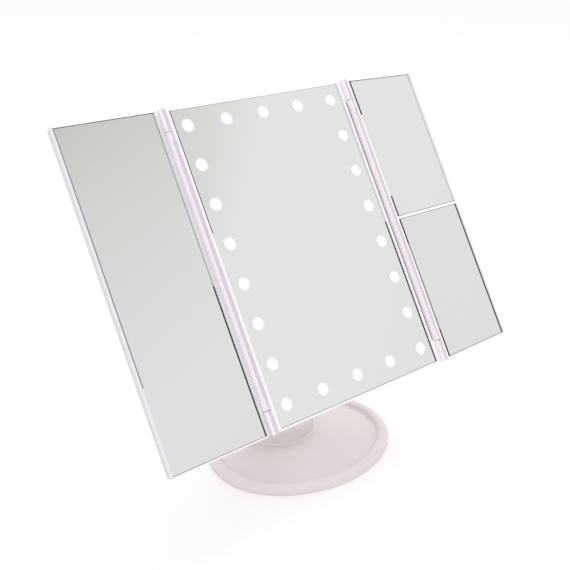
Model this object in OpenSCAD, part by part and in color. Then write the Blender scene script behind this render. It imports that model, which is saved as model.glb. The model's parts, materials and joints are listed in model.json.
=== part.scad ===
// Folding three-panel vanity mirror on a tilting stem with an oval tray base.
// Millimetres, +Z up. The origin is on the table, under the middle of the base.
// The lit middle panel leans back at rest, and a wing is hinged on each side of it.
// Panel pieces are drawn upright, their front lip at y = 0 and middle at z = 0, then leant back.

/* [Base] */
// Width of the oval base, left to right
base_w = 155; // [148:1:162]
// Depth of the oval base, front to back
base_d = 127; // [124:1:132]
// Height of the tray's rim above the table
base_h = 7.5; // [7.5:0.25:9]
// Height of the tray's floor above the table
tray_floor = 3; // [3:0.25:3.5]
// Radius of the round collar that carries the stem
collar_r = 30; // [28:1:31]
// Height of the collar's top above the table
collar_top = 17; // [16:0.5:19]
// Distance of the collar and the stem's foot behind the middle of the base
collar_y = 30; // [28:1:31]

/* [Stem] */
// Width of the stem where it leaves the collar
stem_foot_w = 38; // [36:1:42]
// Depth of the stem where it leaves the collar
stem_foot_d = 23; // [22:1:25]
// Width of the stem's head, along the tilt axle
stem_head_w = 24; // [22:1:24]
// Radius of the stem's round head
stem_head_r = 9; // [8:0.5:9]
// Distance of the tilt axle behind the middle of the base
pivot_y = 17.5; // [16:0.5:19]
// Height of the tilt axle above the table
pivot_z = 165; // [155:1:175]
// Radius of the steel tilt axle
axle_r = 2.5; // [2:0.25:3]

/* [Panels] */
// How far the mirror leans back from upright at rest, in degrees
lean = 32.5; // [5:0.5:50]
// Height of all three panels
panel_h = 232; // [228:0.4:236]
// Width of the middle panel, without its hinge barrels
centre_w = 158.2; // [156:0.2:162]
// Thickness of the flat part of the middle panel
centre_t = 15; // [15:0.5:15.5]
// Width of each wing, from beside its hinge barrel to its free edge
wing_w = 78.5; // [74:0.5:78.5]
// Thickness of each wing
wing_t = 5.2; // [5.2:0.2:6]
// How far the left wing stands forward of flat at rest, in degrees
left_open = 1; // [-5:0.5:30]
// How far the right wing stands forward of flat at rest, in degrees
right_open = -5.5; // [-5.5:0.5:30]
// Thickness of the middle panel's glass
glass_t = 2.5; // [2:0.25:2.5]
// Thickness of the wings' three panes of glass
wing_glass_t = 2; // [1.8:0.1:2]
// Width of the rib between the right wing's two magnifying mirrors
divider_w = 2; // [2:0.2:4]

/* [Hinges] */
// Radius of the wings' hinge barrels
barrel_r = 3; // [2.8:0.1:3.2]
// Gap on each side of a barrel, to the middle panel and to the wing's frame
hinge_gap = 0.7; // [0.5:0.1:0.8]
// Length of each wing's barrel, between the fixed knuckles
barrel_len = 198; // [190:0.4:204]
// Depth of the long flute along the front of each barrel
flute_depth = 1.1; // [0.8:0.1:1.2]
// Radius of the steel wing pins
wing_pin_r = 1.2; // [1:0.1:1.4]

/* [Lights] */
// Sideways spacing of the lights
light_pitch_x = 32.65; // [31:0.05:33]
// Spacing of the lights up the panel
light_pitch_z = 29; // [28:0.1:29.4]
// Number of lights across the top row and the bottom row
lights_across = 5; // [3:1:5]
// Number of lights up each side
lights_up = 8; // [6:1:8]
// Diameter of each round light window
window_d = 6; // [5:0.25:6.5]

/* [Power] */
// Diameter of one battery cell
cell_d = 10.5; // [10:0.1:10.5]
// Length of one battery cell
cell_len = 44.5; // [43:0.5:44.5]
// Diameter of the power button's cap
button_d = 10; // [8:0.5:11]
// How far the power button travels when it is pressed
button_travel = 0.4; // [0.2:0.1:0.4]

/* [Hidden] */
$fn = 64;
sides = [-1, 1];

// Clearances and wall thicknesses
eps = 0.01;
run_fit = 0.05;
fit = 0.1;
slip = 0.3;
wall = 2;
slot_w = 0.6;
slot_deep = 0.6;

// Oval base: two end arcs and two side arcs that meet without a kink. The arcs' centres stand on
// a three-four-five triangle, so the joints between the arcs fall on exact numbers.
side_y = base_w - base_d;
end_x = 3 / 4 * side_y;
half_d = base_d / 2;
base_end_r = base_w / 2 - end_x;
side_r = half_d + side_y;

// Tray, its cover and what is inside
pad_t = 0.7;
pad_inset = 9;
cover_z = 0.5;
cover_t = 1.1;
cover_top = cover_z + cover_t;
rim_round = 5.5;
rim_edge = 3;
rim_w = rim_round + rim_edge;
floor_t = 1.4;
floor_under = tray_floor - floor_t;
ballast_t = 5;
ballast_gap = 1;
base_boss_r = 3.2;
base_boss_h = 4;
base_boss_in = 5;
base_screw_r = 1.1;
base_screw_len = 4;
base_screw_room = 0.5;
base_head_r = 2.5;
base_head_h = 0.7;
pad_hole_r = 3.5;
collar_round = 4;
collar_roof = 2.5;
collar_boss_at = [21, 8];
rim_screw_places = [[-base_w / 2 + base_boss_in, 0], [base_w / 2 - base_boss_in, 0],
  [0, base_boss_in - half_d]];
collar_screw_places = [for (s = sides) [s * collar_boss_at[0], collar_y + collar_boss_at[1]]];

// Stem, drawn along its own axis from the collar's top
stem_run = pivot_z - collar_top;
stem_tilt = atan2(collar_y - pivot_y, stem_run);
stem_len = stem_run / cos(stem_tilt);
spigot_r = 8;
spigot_len = 9;
stem_floor_t = 4;
stem_foot_r = 10;
stem_top_r = 5;
stem_solid_top = 16;
foot_screw_x = 13;
foot_screw_r = 1.5;
foot_screw_len = 11;
foot_head_r = 3;
foot_head_h = 2;
foot_boss_r = 3.2;
hatch_y = 3;
hatch_bottom = 6;
hatch_below_top = 18;
hatch_top = stem_len - hatch_below_top;
hatch_boss_y = hatch_y + 3;
hatch_boss_r = 2.8;
hatch_screw_places = [28, 108];
hatch_screw_r = 0.9;
hatch_screw_len = 8;
hatch_head_r = 2;
hatch_head_h = 1.4;
hatch_head_sunk = 0.4;

// Middle panel, front to back
plan_r = 2.5;
lip_t = 1.2;
side_lip = 2.7;
end_lip = 1.6;
overlap_x = 0.9;
overlap_z = 0.6;
frame_t = 8;
glass_back = lip_t + glass_t;
view_w = centre_w - 2 * side_lip;
view_h = panel_h - 2 * end_lip;
glass_w = view_w + 2 * overlap_x;
glass_h = view_h + 2 * overlap_z;
cavity_back = centre_t - wall;
plate_y = 6.4;
plate_t = 1.2;
plate_back = plate_y + plate_t;

// Tilt hinge: a bracket with two ears on the back, and the axle through it
pivot_depth = 31;
pivot_rise = 5;
bracket_w = 50;
bracket_h = 44;
bracket_t = 2.5;
bracket_back = centre_t + bracket_t;
bracket_screw_at = [20, 17];
bracket_screw_places = [for (s = sides) for (t = sides)
  [s * bracket_screw_at[0], pivot_rise + t * bracket_screw_at[1]]];
bracket_screw_r = 1.2;
bracket_screw_len = 8.5;
bracket_head_r = 2.8;
bracket_head_h = 1.6;
bracket_boss_r = 3.4;
washer_t = 1;
washer_r = 7;
ear_t = 5;
ear_in = stem_head_w / 2 + washer_t + slip;
ear_out = ear_in + ear_t;
ear_half_h = 13.5;
axle_head_r = 4.4;
axle_head_t = 2;
thread_len = 4;
nut_r = 4.8;
nut_t = 3.2;

// Ring of lights, a little above the panel's middle
light_rise = 0.9;
light_half_w = (lights_across - 1) / 2 * light_pitch_x;
light_half_h = (lights_up - 1) / 2 * light_pitch_z;
light_places = [for (i = [0:lights_up - 1]) for (s = sides)
    [s * light_half_w, light_rise - light_half_h + i * light_pitch_z],
  for (i = [1:lights_across - 2]) for (s = sides)
    [i * light_pitch_x - light_half_w, light_rise + s * light_half_h]];
window_sunk = 0.5;
window_y = lip_t + window_sunk;
strip_w = 8;
strip_gap = 0.5;
baffle_y = glass_back + fit;
baffle_t = 1.5;
strip_y = baffle_y + baffle_t + fit;
strip_t = 0.9;
chip_w = 3;
chip_t = 1.4;

// Wing hinges, their axis just in front of the lips so that a wing folds flat
hinge_y = -0.8;
hinge_x = centre_w / 2 + hinge_gap + barrel_r;
knuckle_gap = 0.5;
knuckle_z = barrel_len / 2 + knuckle_gap;
knuckle_len = panel_h / 2 - knuckle_z;
knuckle_round = 1;
knuckle_proud = 1.8;
knuckle_front = hinge_y - knuckle_proud;
pin_reach = 8;
pin_sunk = 1.5;
flute_r = 3.2;
flute_end = 9;

// Wings, drawn as the right wing lying flat beside the middle panel
wing_in = hinge_x + barrel_r + hinge_gap;
wing_mid = wing_in + wing_w / 2;
wing_y = hinge_y;
wing_back_y = wing_y + wing_t;
wing_lip_t = 1.1;
wing_in_lip = 2.5;
wing_out_lip = 2.2;
wing_end_lip = 1.2;
wing_view_w = wing_w - wing_in_lip - wing_out_lip;
wing_view_mid = wing_in + wing_in_lip + wing_view_w / 2;
wing_glass_y = wing_y + wing_lip_t;
wing_glass_back = wing_glass_y + wing_glass_t;
wing_overlap = 0.8;
wing_end_overlap = 0.4;
wing_glass_w = wing_view_w + 2 * wing_overlap;
wing_glass_h = panel_h - 2 * (wing_end_lip - wing_end_overlap);
wing_panel_in = 1.5;
wing_panel_sunk = 0.3;
pad_short = 2;
divider_web = 0.8;
half_glass_h = (wing_glass_h - divider_web) / 2 - fit;
half_glass_mid = divider_web / 2 + fit + half_glass_h / 2;

// Battery pod on the back of the middle panel, its bay and its sliding door
pod_w = 58;
pod_top = -22;
pod_bottom = -86;
pod_mid = (pod_top + pod_bottom) / 2;
pod_back = 22;
pod_plan_r = 6;
pod_round = 3;
cell_pitch = cell_d + 1;
bay_w = 4 * cell_pitch;
bay_y = 8.9;
nub_r = 1.9;
nub_h = 1;
contact_t = 0.4;
contact_deep = 7;
contact_side_gap = 1.5;
spring_len = 4.6;
spring_base_r = 3.6;
spring_tip_r = 2.4;
bay_top = -28.4;
bay_h = cell_len + spring_len + 2 * contact_t + 2 * fit;
bay_mid = bay_top - bay_h / 2;
cell_y = bay_y + 2 * fit + cell_d / 2;
door_w = 50;
door_t = 1.8;
door_y = pod_back - door_t;
door_top = -25.5;
tongue_w = 1.1;
tongue_t = 0.8;
tongue_low = 6;
tongue_high = 5;
grip_count = 4;
grip_pitch = 3;
grip_down = 9;
grip_half_w = 9;
grip_r = 0.5;

// Control board, charging socket and power button, low on the right of the back
board_x = 49;
board_w = 26;
board_top = -66;
board_lift = 1.2;
board_t = 1.2;
board_bottom = wall + board_lift - panel_h / 2;
board_y = plate_back + 2 * fit;
board_back = board_y + board_t;
socket_w = 7.6;
socket_t = 2.7;
socket_len = 5.6;
socket_wall = 0.4;
socket_sunk = 0.8;
socket_tongue_w = 3.6;
socket_tongue_t = 0.6;
button_z = -80;
switch_w = 6;
switch_t = 1.8;
plunger_r = 1.5;
switch_h = 2.2;
button_play = 0.15;
flange_t = 0.8;
flange_out = 1.2;
button_proud = 1.2;
button_round = 0.6;
switch_back = board_back + switch_h;
flange_y = switch_back + button_travel + button_play;
flange_back = flange_y + flange_t;
button_back = centre_t + button_proud;

// Leads: two from the battery bay to the board, two from the board to a light strip
wire_r = 0.6;
wire_y = board_back + 1;
wire_gap = 3;
wire_in_bay = 0.5;
battery_wire_z = -30;
battery_wire_x = 45;
strip_wire_z = -50;
strip_wire_x = 64;
strip_wire_board_x = 56;
battery_wires = [for (i = [0, 1]) [[bay_w / 2 - wire_in_bay, wire_y, battery_wire_z - i * wire_gap],
  [battery_wire_x - i * wire_gap, wire_y, battery_wire_z - i * wire_gap],
  [battery_wire_x - i * wire_gap, wire_y, board_top + fit]]];
strip_wires = [for (i = [0, 1]) [[strip_wire_board_x - i * wire_gap, wire_y, board_top + fit],
  [strip_wire_board_x - i * wire_gap, wire_y, strip_wire_z + i * wire_gap],
  [strip_wire_x, wire_y, strip_wire_z + i * wire_gap],
  [strip_wire_x, strip_y + strip_t, strip_wire_z + i * wire_gap]]];

// Screws through the back cover into the backing plate
back_screw_x = 69;
back_screw_zs = [-103, 12, 103];
back_screw_places = [for (s = sides) for (z = back_screw_zs) [s * back_screw_x, z]];
back_head_sunk = 0.4;
back_head_r = 2.4;
back_head_h = 1.6;
back_screw_r = 1;
back_screw_len = 6;
back_boss_r = 4;
back_boss_h = 1.8;
plate_boss_r = 3.2;
rear_edge_r = 4;

// ---- Shapes that repeat ----

// Rounded rectangle, centred
module round_rect(w, h, r) {
  square([w - 2 * r, h], center = true);
  square([w, h - 2 * r], center = true);
  for (s = sides) for (t = sides) translate([s * (w / 2 - r), t * (h / 2 - r)]) circle(r = r);
}

// Section of a bar, centred along x, from t0 to t1 along y, with both faces' edges rounded
module bar_section(len, t0, t1, r0, r1) {
  translate([-len / 2, t0 + r0]) square([len, t1 - t0 - r0 - r1]);
  if (r0 > 0) {
    translate([-len / 2 + r0, t0]) square([len - 2 * r0, 2 * r0]);
    for (s = sides) translate([s * (len / 2 - r0), t0 + r0]) circle(r = r0);
  }
  if (r1 > 0) {
    translate([-len / 2 + r1, t1 - 2 * r1]) square([len - 2 * r1, 2 * r1]);
    for (s = sides) translate([s * (len / 2 - r1), t1 - r1]) circle(r = r1);
  }
}

// Plate that faces along y from y0 to y1, with square corners
module y_slab(w, h, y0, y1) {
  translate([-w / 2, y0, -h / 2]) cube([w, y1 - y0, h]);
}

// Plate that faces along y, with rounded corners and with its front and rear edges rounded
module soft_plate(w, h, y0, y1, corner, r0, r1) {
  intersection() {
    translate([0, y1, 0]) rotate([90, 0, 0]) linear_extrude(y1 - y0) round_rect(w, h, corner);
    translate([0, 0, -h / 2]) linear_extrude(h) bar_section(w, y0, y1, r0, r1);
    translate([w / 2, 0, 0]) rotate([0, -90, 0]) linear_extrude(w) bar_section(h, y0, y1, r0, r1);
  }
}

// Rod along y from y0 to y1
module y_rod(x, z, y0, y1, r) {
  translate([x, y0, z]) rotate([-90, 0, 0]) cylinder(h = y1 - y0, r = r);
}

// Rod along x from x0 to x1
module x_rod(x0, x1, y, z, r) {
  translate([x0, y, z]) rotate([0, 90, 0]) cylinder(h = x1 - x0, r = r);
}

// Screw with its head's face at the origin and its shank along +z, with a cross slot
module screw(head_r, head_h, shank_r, len) {
  difference() {
    union() {
      cylinder(h = head_h, r = head_r);
      cylinder(h = len, r = shank_r);
    }
    for (a = [0, 90]) rotate([0, 0, a])
      cube([1.2 * head_r, slot_w, 2 * slot_deep], center = true);
  }
}

// Screw driven forward into the back of the panel, its head's face at y
module screw_in_back(x, y, z, head_r, head_h, shank_r, len) {
  translate([x, y, z]) rotate([90, 0, 0]) screw(head_r, head_h, shank_r, len);
}

// Outline of the base oval, drawn in by inset
module oval(inset) {
  for (s = sides) translate([s * end_x, 0]) circle(r = base_end_r - inset);
  for (s = sides) intersection() {
    translate([0, s * side_y]) circle(r = side_r - inset);
    polygon([[0, s * side_y], [4 * end_x, -3 * s * side_y], [-4 * end_x, -3 * s * side_y]]);
  }
}

// Carries a section round the oval; x = 0 in the section is the oval's edge
module oval_ring() {
  for (s = sides) intersection() {
    translate([s * end_x, 0, 0]) rotate_extrude() translate([base_end_r, 0]) children();
    linear_extrude(2 * base_h)
      polygon([[s * end_x, 0], [6 * s * end_x, 5 * side_y], [6 * s * end_x, -5 * side_y]]);
  }
  for (s = sides) intersection() {
    translate([0, s * side_y, 0]) rotate_extrude() translate([side_r, 0]) children();
    linear_extrude(2 * base_h)
      polygon([[0, s * side_y], [5 * end_x, -4 * s * side_y], [-5 * end_x, -4 * s * side_y]]);
  }
}

// Leans a piece of the middle panel back about the tilt axle
module in_head() {
  translate([0, pivot_y, pivot_z]) rotate([-lean, 0, 0]) translate([0, -pivot_depth, -pivot_rise])
    children();
}

// Turns a piece of a wing forward by its open angle, and mirrors it for the left side
module in_wing(side, open) {
  in_head() mirror([side < 0 ? 1 : 0, 0, 0]) translate([hinge_x, hinge_y, 0]) rotate([0, 0, -open])
    translate([-hinge_x, -hinge_y, 0]) children();
}

// Stands a piece along the stem's axis, from the collar's top up
module in_stem() {
  translate([0, collar_y, collar_top]) rotate([stem_tilt, 0, 0]) children();
}

// ---- Base ----

// Section of the tray's rounded rim, hollow from underneath
module rim_section() {
  difference() {
    union() {
      intersection() {
        translate([-rim_round, base_h - rim_round]) circle(r = rim_round);
        translate([-rim_round, base_h - rim_round]) square(rim_round);
      }
      translate([-rim_round, base_h - rim_edge]) circle(r = rim_edge);
      translate([-rim_w, floor_under]) square([rim_edge + eps, base_h - rim_edge - floor_under]);
      translate([-rim_round, floor_under]) square([rim_round, base_h - rim_round - floor_under]);
      translate([-wall, cover_z]) square([wall, base_h - rim_round - cover_z]);
    }
    translate([-rim_w + wall, 0]) square([rim_w - 2 * wall, base_h - rim_round]);
    intersection() {
      translate([-rim_round, base_h - rim_round]) circle(r = rim_round - wall);
      translate([-rim_w + wall, base_h - rim_round - eps]) square(rim_round);
    }
  }
}

// Half section of the round collar, with a rounded top edge
module collar_section() {
  translate([0, floor_under]) square([collar_r, collar_top - collar_round - floor_under]);
  translate([0, collar_top - 2 * collar_round]) square([collar_r - collar_round, 2 * collar_round]);
  translate([collar_r - collar_round, collar_top - collar_round]) circle(r = collar_round);
}

module base_tray() color("#E2D9DB") {
  difference() {
    union() {
      oval_ring() rim_section();
      translate([0, 0, floor_under]) linear_extrude(floor_t) oval(rim_w - rim_edge / 2);
      translate([0, collar_y, 0]) rotate_extrude() collar_section();
      for (p = concat(rim_screw_places, collar_screw_places)) translate([p[0], p[1], cover_top])
        cylinder(h = base_boss_h, r = base_boss_r);
    }
    difference() {
      translate([0, collar_y, 0]) cylinder(h = collar_top - collar_roof, r = collar_r - wall);
      for (p = collar_screw_places) translate([p[0], p[1], cover_top])
        cylinder(h = collar_top, r = base_boss_r);
    }
    translate([0, collar_y, 0]) cylinder(h = 2 * collar_top, r = spigot_r + fit);
    for (s = sides) translate([s * foot_screw_x, collar_y, 0])
      cylinder(h = 2 * collar_top, r = foot_screw_r + slip);
    for (p = concat(rim_screw_places, collar_screw_places)) translate([p[0], p[1], 0])
      cylinder(h = cover_z + base_screw_len + base_screw_room, r = base_screw_r + fit);
  }
}

module base_cover() color("#D9D6D4") {
  difference() {
    translate([0, 0, cover_z]) linear_extrude(cover_t) oval(wall + fit);
    linear_extrude(pad_t) oval(pad_inset - fit);
    for (p = concat(rim_screw_places, collar_screw_places)) translate([p[0], p[1], 0]) {
      cylinder(h = 2 * cover_top, r = base_screw_r + slip);
      cylinder(h = cover_z + base_head_h, r = base_head_r + fit);
    }
  }
}

// Thick round plate inside the collar, with holes for the two screw bosses
module ballast_plate() color("#8A8D90") {
  difference() {
    translate([0, collar_y, cover_top + run_fit])
      cylinder(h = ballast_t, r = collar_r - wall - ballast_gap);
    for (p = collar_screw_places) translate([p[0], p[1], 0])
      cylinder(h = collar_top, r = base_boss_r + slip);
  }
}

module non_slip_pad() color("#C9C7C5") {
  linear_extrude(pad_t) difference() {
    oval(pad_inset);
    for (p = collar_screw_places) translate(p) circle(r = pad_hole_r);
  }
}

module base_screws() color("#B9BBBD") {
  for (p = concat(rim_screw_places, collar_screw_places)) translate([p[0], p[1], cover_z])
    screw(base_head_r, base_head_h, base_screw_r, base_screw_len);
}

// ---- Stem ----

// Tapered stem from its level foot on the collar to the axle, drawn in by inset and by a floor
module stem_body(inset, floor_z, top_z) {
  hull($fn = 32) {
    translate([0, collar_y - floor_z * tan(stem_tilt), collar_top + floor_z]) linear_extrude(eps)
      round_rect(stem_foot_w - 2 * inset, stem_foot_d - 2 * inset, stem_foot_r - inset);
    in_stem() translate([0, 0, top_z]) linear_extrude(eps)
      round_rect(stem_head_w - 2 * inset, 2 * (stem_head_r - inset), stem_top_r - inset);
  }
}

// Wall of the stem, closed at its foot and solid near the axle
module stem_shell() {
  difference() {
    stem_body(0, 0, stem_len);
    stem_body(wall, stem_floor_t, stem_len - stem_solid_top);
  }
}

// Half depth of the stem at height z along its axis
function stem_half_d(z) = stem_foot_d / 2 + (stem_head_r - stem_foot_d / 2) * z / stem_len;

// Rear part of the stem's wall that comes off as a cover, drawn in by gap
module hatch_zone(gap) {
  translate([-stem_foot_w, hatch_y + gap, hatch_bottom + gap])
    cube([2 * stem_foot_w, stem_foot_d, hatch_top - hatch_bottom - 2 * gap]);
}

module stem_front() color("#ECE8E8") {
  difference() {
    union() {
      difference() {
        stem_shell();
        in_stem() hatch_zone(0);
      }
      in_stem() for (z = hatch_screw_places)
        y_rod(0, z, wall / 2 - stem_half_d(z), hatch_boss_y, hatch_boss_r);
      x_rod(-stem_head_w / 2, stem_head_w / 2, pivot_y, pivot_z, stem_head_r);
      translate([0, collar_y, collar_top - spigot_len]) cylinder(h = spigot_len + 1, r = spigot_r);
      for (s = sides) translate([s * foot_screw_x, collar_y, collar_top + 1])
        cylinder(h = foot_screw_len - 2, r = foot_boss_r);
    }
    in_stem() for (z = hatch_screw_places)
      y_rod(0, z, -wall, hatch_boss_y + 1, hatch_screw_r + run_fit);
    x_rod(-stem_head_w, stem_head_w, pivot_y, pivot_z, axle_r + run_fit);
    for (s = sides) translate([s * (stem_head_w + washer_t) / 2, 0, 0])
      x_rod(-washer_t / 2, washer_t / 2, pivot_y, pivot_z, washer_r + slip);
    for (s = sides) translate([s * foot_screw_x, collar_y, 0])
      cylinder(h = collar_top + foot_screw_len - 2, r = foot_screw_r + run_fit);
    translate([0, collar_y, 0]) cylinder(h = collar_top + 1, r = spigot_r - wall);
  }
}

module stem_back() color("#ECE8E8") {
  difference() {
    union() {
      intersection() {
        stem_shell();
        in_stem() hatch_zone(fit);
      }
      in_stem() for (z = hatch_screw_places)
        y_rod(0, z, hatch_boss_y + fit, stem_half_d(z) - wall / 2, hatch_boss_r);
    }
    in_stem() for (z = hatch_screw_places) {
      y_rod(0, z, 0, stem_foot_d, hatch_screw_r + slip);
      y_rod(0, z, stem_half_d(z) - hatch_head_sunk - hatch_head_h, stem_foot_d, hatch_head_r + fit);
    }
  }
}

module stem_foot_screws() color("#B9BBBD") {
  for (s = sides) translate([s * foot_screw_x, collar_y, collar_top - collar_roof - foot_head_h])
    screw(foot_head_r, foot_head_h, foot_screw_r, foot_screw_len);
}

module stem_cover_screws() color("#B9BBBD") {
  in_stem() for (z = hatch_screw_places)
    screw_in_back(0, stem_half_d(z) - hatch_head_sunk, z, hatch_head_r, hatch_head_h,
      hatch_screw_r, hatch_screw_len);
}

module friction_washers() color("#5A5A5C") {
  for (s = sides) translate([s * (stem_head_w + washer_t) / 2, 0, 0]) difference() {
    x_rod(-washer_t / 2, washer_t / 2, pivot_y, pivot_z, washer_r);
    x_rod(-washer_t, washer_t, pivot_y, pivot_z, axle_r + run_fit);
  }
}

// ---- Middle panel ----

// One fixed knuckle at the upper right of the frame, flat in front, with its web to the frame
module knuckle() {
  intersection() {
    translate([hinge_x, hinge_y, knuckle_z]) rotate_extrude() {
      square([barrel_r, knuckle_len - knuckle_round]);
      square([barrel_r - knuckle_round, knuckle_len]);
      translate([barrel_r - knuckle_round, knuckle_len - knuckle_round]) circle(r = knuckle_round);
    }
    translate([centre_w / 2, knuckle_front, 0]) cube([wing_in - centre_w / 2, frame_t, panel_h]);
  }
  translate([centre_w / 2 - 1, 0, knuckle_z])
    cube([hinge_x - centre_w / 2 + 1, hinge_y + barrel_r, knuckle_len - pin_sunk]);
}

module centre_frame() color("#F4F3F4") {
  in_head() difference() {
    union() {
      soft_plate(centre_w, panel_h, 0, frame_t, plan_r, 1, 0);
      for (s = [0, 1]) for (t = [0, 1]) mirror([s, 0, 0]) mirror([0, 0, t]) knuckle();
    }
    y_slab(view_w, view_h, -1, frame_t + 1);
    y_slab(glass_w + 2 * fit, glass_h + 2 * fit, lip_t, frame_t + 1);
    for (s = sides) translate([s * hinge_x, hinge_y, -panel_h])
      cylinder(h = 2 * panel_h, r = wing_pin_r + run_fit);
  }
}

module centre_mirror() color("#DFE0DC") {
  in_head() difference() {
    y_slab(glass_w, glass_h, lip_t, glass_back);
    for (p = light_places) y_rod(p[0], p[1], 0, glass_back + 1, window_d / 2 + run_fit);
  }
}

module light_windows() color("#FFFFFF") {
  in_head() for (p = light_places) y_rod(p[0], p[1], window_y, glass_back, window_d / 2);
}

module light_baffle() color("#F2F2F0") {
  in_head() difference() {
    translate([0, 0, light_rise])
      y_slab(2 * light_half_w + strip_w, 2 * light_half_h + strip_w, baffle_y, baffle_y + baffle_t);
    translate([0, 0, light_rise])
      y_slab(2 * light_half_w - strip_w, 2 * light_half_h - strip_w, 0, frame_t);
    for (p = light_places) y_rod(p[0], p[1], 0, frame_t, window_d / 2 + fit);
  }
}

module led_strips() color("#E9EAE4") {
  in_head() translate([0, 0, light_rise]) for (s = sides) {
    translate([s * light_half_w, 0, 0])
      y_slab(strip_w, 2 * light_half_h + strip_w, strip_y, strip_y + strip_t);
    translate([0, 0, s * light_half_h])
      y_slab(2 * (light_half_w - strip_gap) - strip_w, strip_w, strip_y, strip_y + strip_t);
  }
}

module led_chips() color("#FFF6D8") {
  in_head() for (p = light_places) translate([p[0], 0, p[1]])
    y_slab(chip_w, chip_w, strip_y - chip_t, strip_y);
}

module backing_plate() color("#E6E6E4") {
  in_head() difference() {
    union() {
      y_slab(glass_w, glass_h, plate_y, plate_back);
      for (p = back_screw_places)
        y_rod(p[0], p[1], plate_back - eps, cavity_back - back_boss_h - fit, plate_boss_r);
    }
    for (p = back_screw_places) y_rod(p[0], p[1], plate_y - 1, centre_t, back_screw_r + run_fit);
    for (w = strip_wires) y_rod(strip_wire_x, w[3][2], plate_y - 1, centre_t, wire_r + fit);
  }
}

// Outside of the battery pod, door included
module pod_block() {
  translate([0, 0, pod_mid])
    soft_plate(pod_w, pod_top - pod_bottom, plate_back + fit, pod_back, pod_plan_r, 0, pod_round);
}

module centre_back() color("#F1F0F1") {
  in_head() difference() {
    union() {
      difference() {
        soft_plate(centre_w, panel_h, frame_t, centre_t, plan_r, 0, rear_edge_r);
        y_slab(centre_w - 2 * wall, panel_h - 2 * wall, 0, cavity_back);
      }
      pod_block();
      for (p = back_screw_places)
        y_rod(p[0], p[1], cavity_back - back_boss_h, cavity_back + 1, back_boss_r);
      for (p = bracket_screw_places)
        y_rod(p[0], p[1], plate_back + slip, cavity_back + 1, bracket_boss_r);
    }
    for (w = battery_wires) x_rod(bay_w / 2 - 1, pod_w / 2 + 1, wire_y, w[0][2], wire_r + fit);
    translate([0, 0, bay_mid]) y_slab(bay_w, bay_h, bay_y, pod_back + 1);
    translate([-door_w / 2 - slip, door_y - slip, pod_bottom - 1])
      cube([door_w + 2 * slip, pod_back, door_top + slip - pod_bottom + 1]);
    translate([-door_w / 2 - tongue_w - slip, door_y - slip, pod_bottom - 1])
      cube([door_w + 2 * tongue_w + 2 * slip, tongue_t + 2 * slip,
        door_top - tongue_high + slip - pod_bottom + 1]);
    for (p = back_screw_places) {
      y_rod(p[0], p[1], 0, centre_t + 1, back_screw_r + slip);
      y_rod(p[0], p[1], centre_t - back_head_sunk - back_head_h, centre_t + 1, back_head_r + fit);
    }
    for (p = bracket_screw_places)
      y_rod(p[0], p[1], plate_back, centre_t + 1, bracket_screw_r + run_fit);
    y_rod(board_x, button_z, 0, centre_t + 1, button_d / 2 + slip);
    translate([board_x - socket_w / 2 - slip, board_back - slip, -panel_h / 2 - 1])
      cube([socket_w + 2 * slip, socket_t + 2 * slip, wall + 2]);
  }
}

module back_screws() color("#C4C6C8") {
  in_head() for (p = back_screw_places)
    screw_in_back(p[0], centre_t - back_head_sunk, p[1], back_head_r, back_head_h,
      back_screw_r, back_screw_len);
}

// ---- Power ----

module battery_cells() color("#3F5E8C") {
  in_head() for (i = [0:3]) translate([(i - 1.5) * cell_pitch, cell_y, bay_mid])
    mirror([0, 0, i % 2]) translate([0, 0, bay_h / 2 - contact_t - fit - cell_len]) {
      cylinder(h = cell_len - nub_h, r = cell_d / 2);
      cylinder(h = cell_len, r = nub_r);
    }
}

// Four plates, each across the ends of two cells
module contact_plates() color("#C9CCCE") {
  in_head() for (s = sides) for (t = sides)
    translate([t * cell_pitch, cell_y, bay_mid + s * (bay_h - contact_t) / 2])
      cube([2 * (cell_pitch - contact_side_gap), contact_deep, contact_t], center = true);
}

module contact_springs() color("#C9CCCE") {
  in_head() for (i = [0:3]) translate([(i - 1.5) * cell_pitch, cell_y, bay_mid])
    mirror([0, 0, i % 2]) translate([0, 0, contact_t - bay_h / 2])
      cylinder(h = spring_len, r1 = spring_base_r, r2 = spring_tip_r);
}

module control_board() color("#2F6B46") {
  in_head() translate([board_x - board_w / 2, board_y, board_bottom])
    cube([board_w, board_back - board_y, board_top - board_bottom]);
}

module usb_socket() color("#C9CCCE") {
  in_head() translate([board_x - socket_w / 2, board_back, socket_sunk - panel_h / 2]) difference() {
    cube([socket_w, socket_t, socket_len]);
    difference() {
      translate([socket_wall, socket_wall, -1])
        cube([socket_w - 2 * socket_wall, socket_t - 2 * socket_wall, socket_len]);
      translate([(socket_w - socket_tongue_w) / 2, (socket_t - socket_tongue_t) / 2, socket_wall])
        cube([socket_tongue_w, socket_tongue_t, socket_len]);
    }
  }
}

module tact_switch() color("#3A3A3C") {
  in_head() {
    translate([board_x - switch_w / 2, board_back, button_z - switch_w / 2])
      cube([switch_w, switch_t, switch_w]);
    y_rod(board_x, button_z, board_back, switch_back, plunger_r);
  }
}

// One insulated lead through points, with round corners
module lead(points) {
  for (i = [0:len(points) - 2]) {
    run = points[i + 1] - points[i];
    translate(points[i]) rotate([0, atan2(norm([run[0], run[1]]), run[2]), atan2(run[1], run[0])])
      cylinder(h = norm(run), r = wire_r);
    if (i > 0) translate(points[i]) sphere(r = wire_r);
  }
}

module lead_wires() color("#B03A34") {
  in_head() for (points = concat(battery_wires, strip_wires)) lead(points);
}

// ---- Tilt hinge ----

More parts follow.
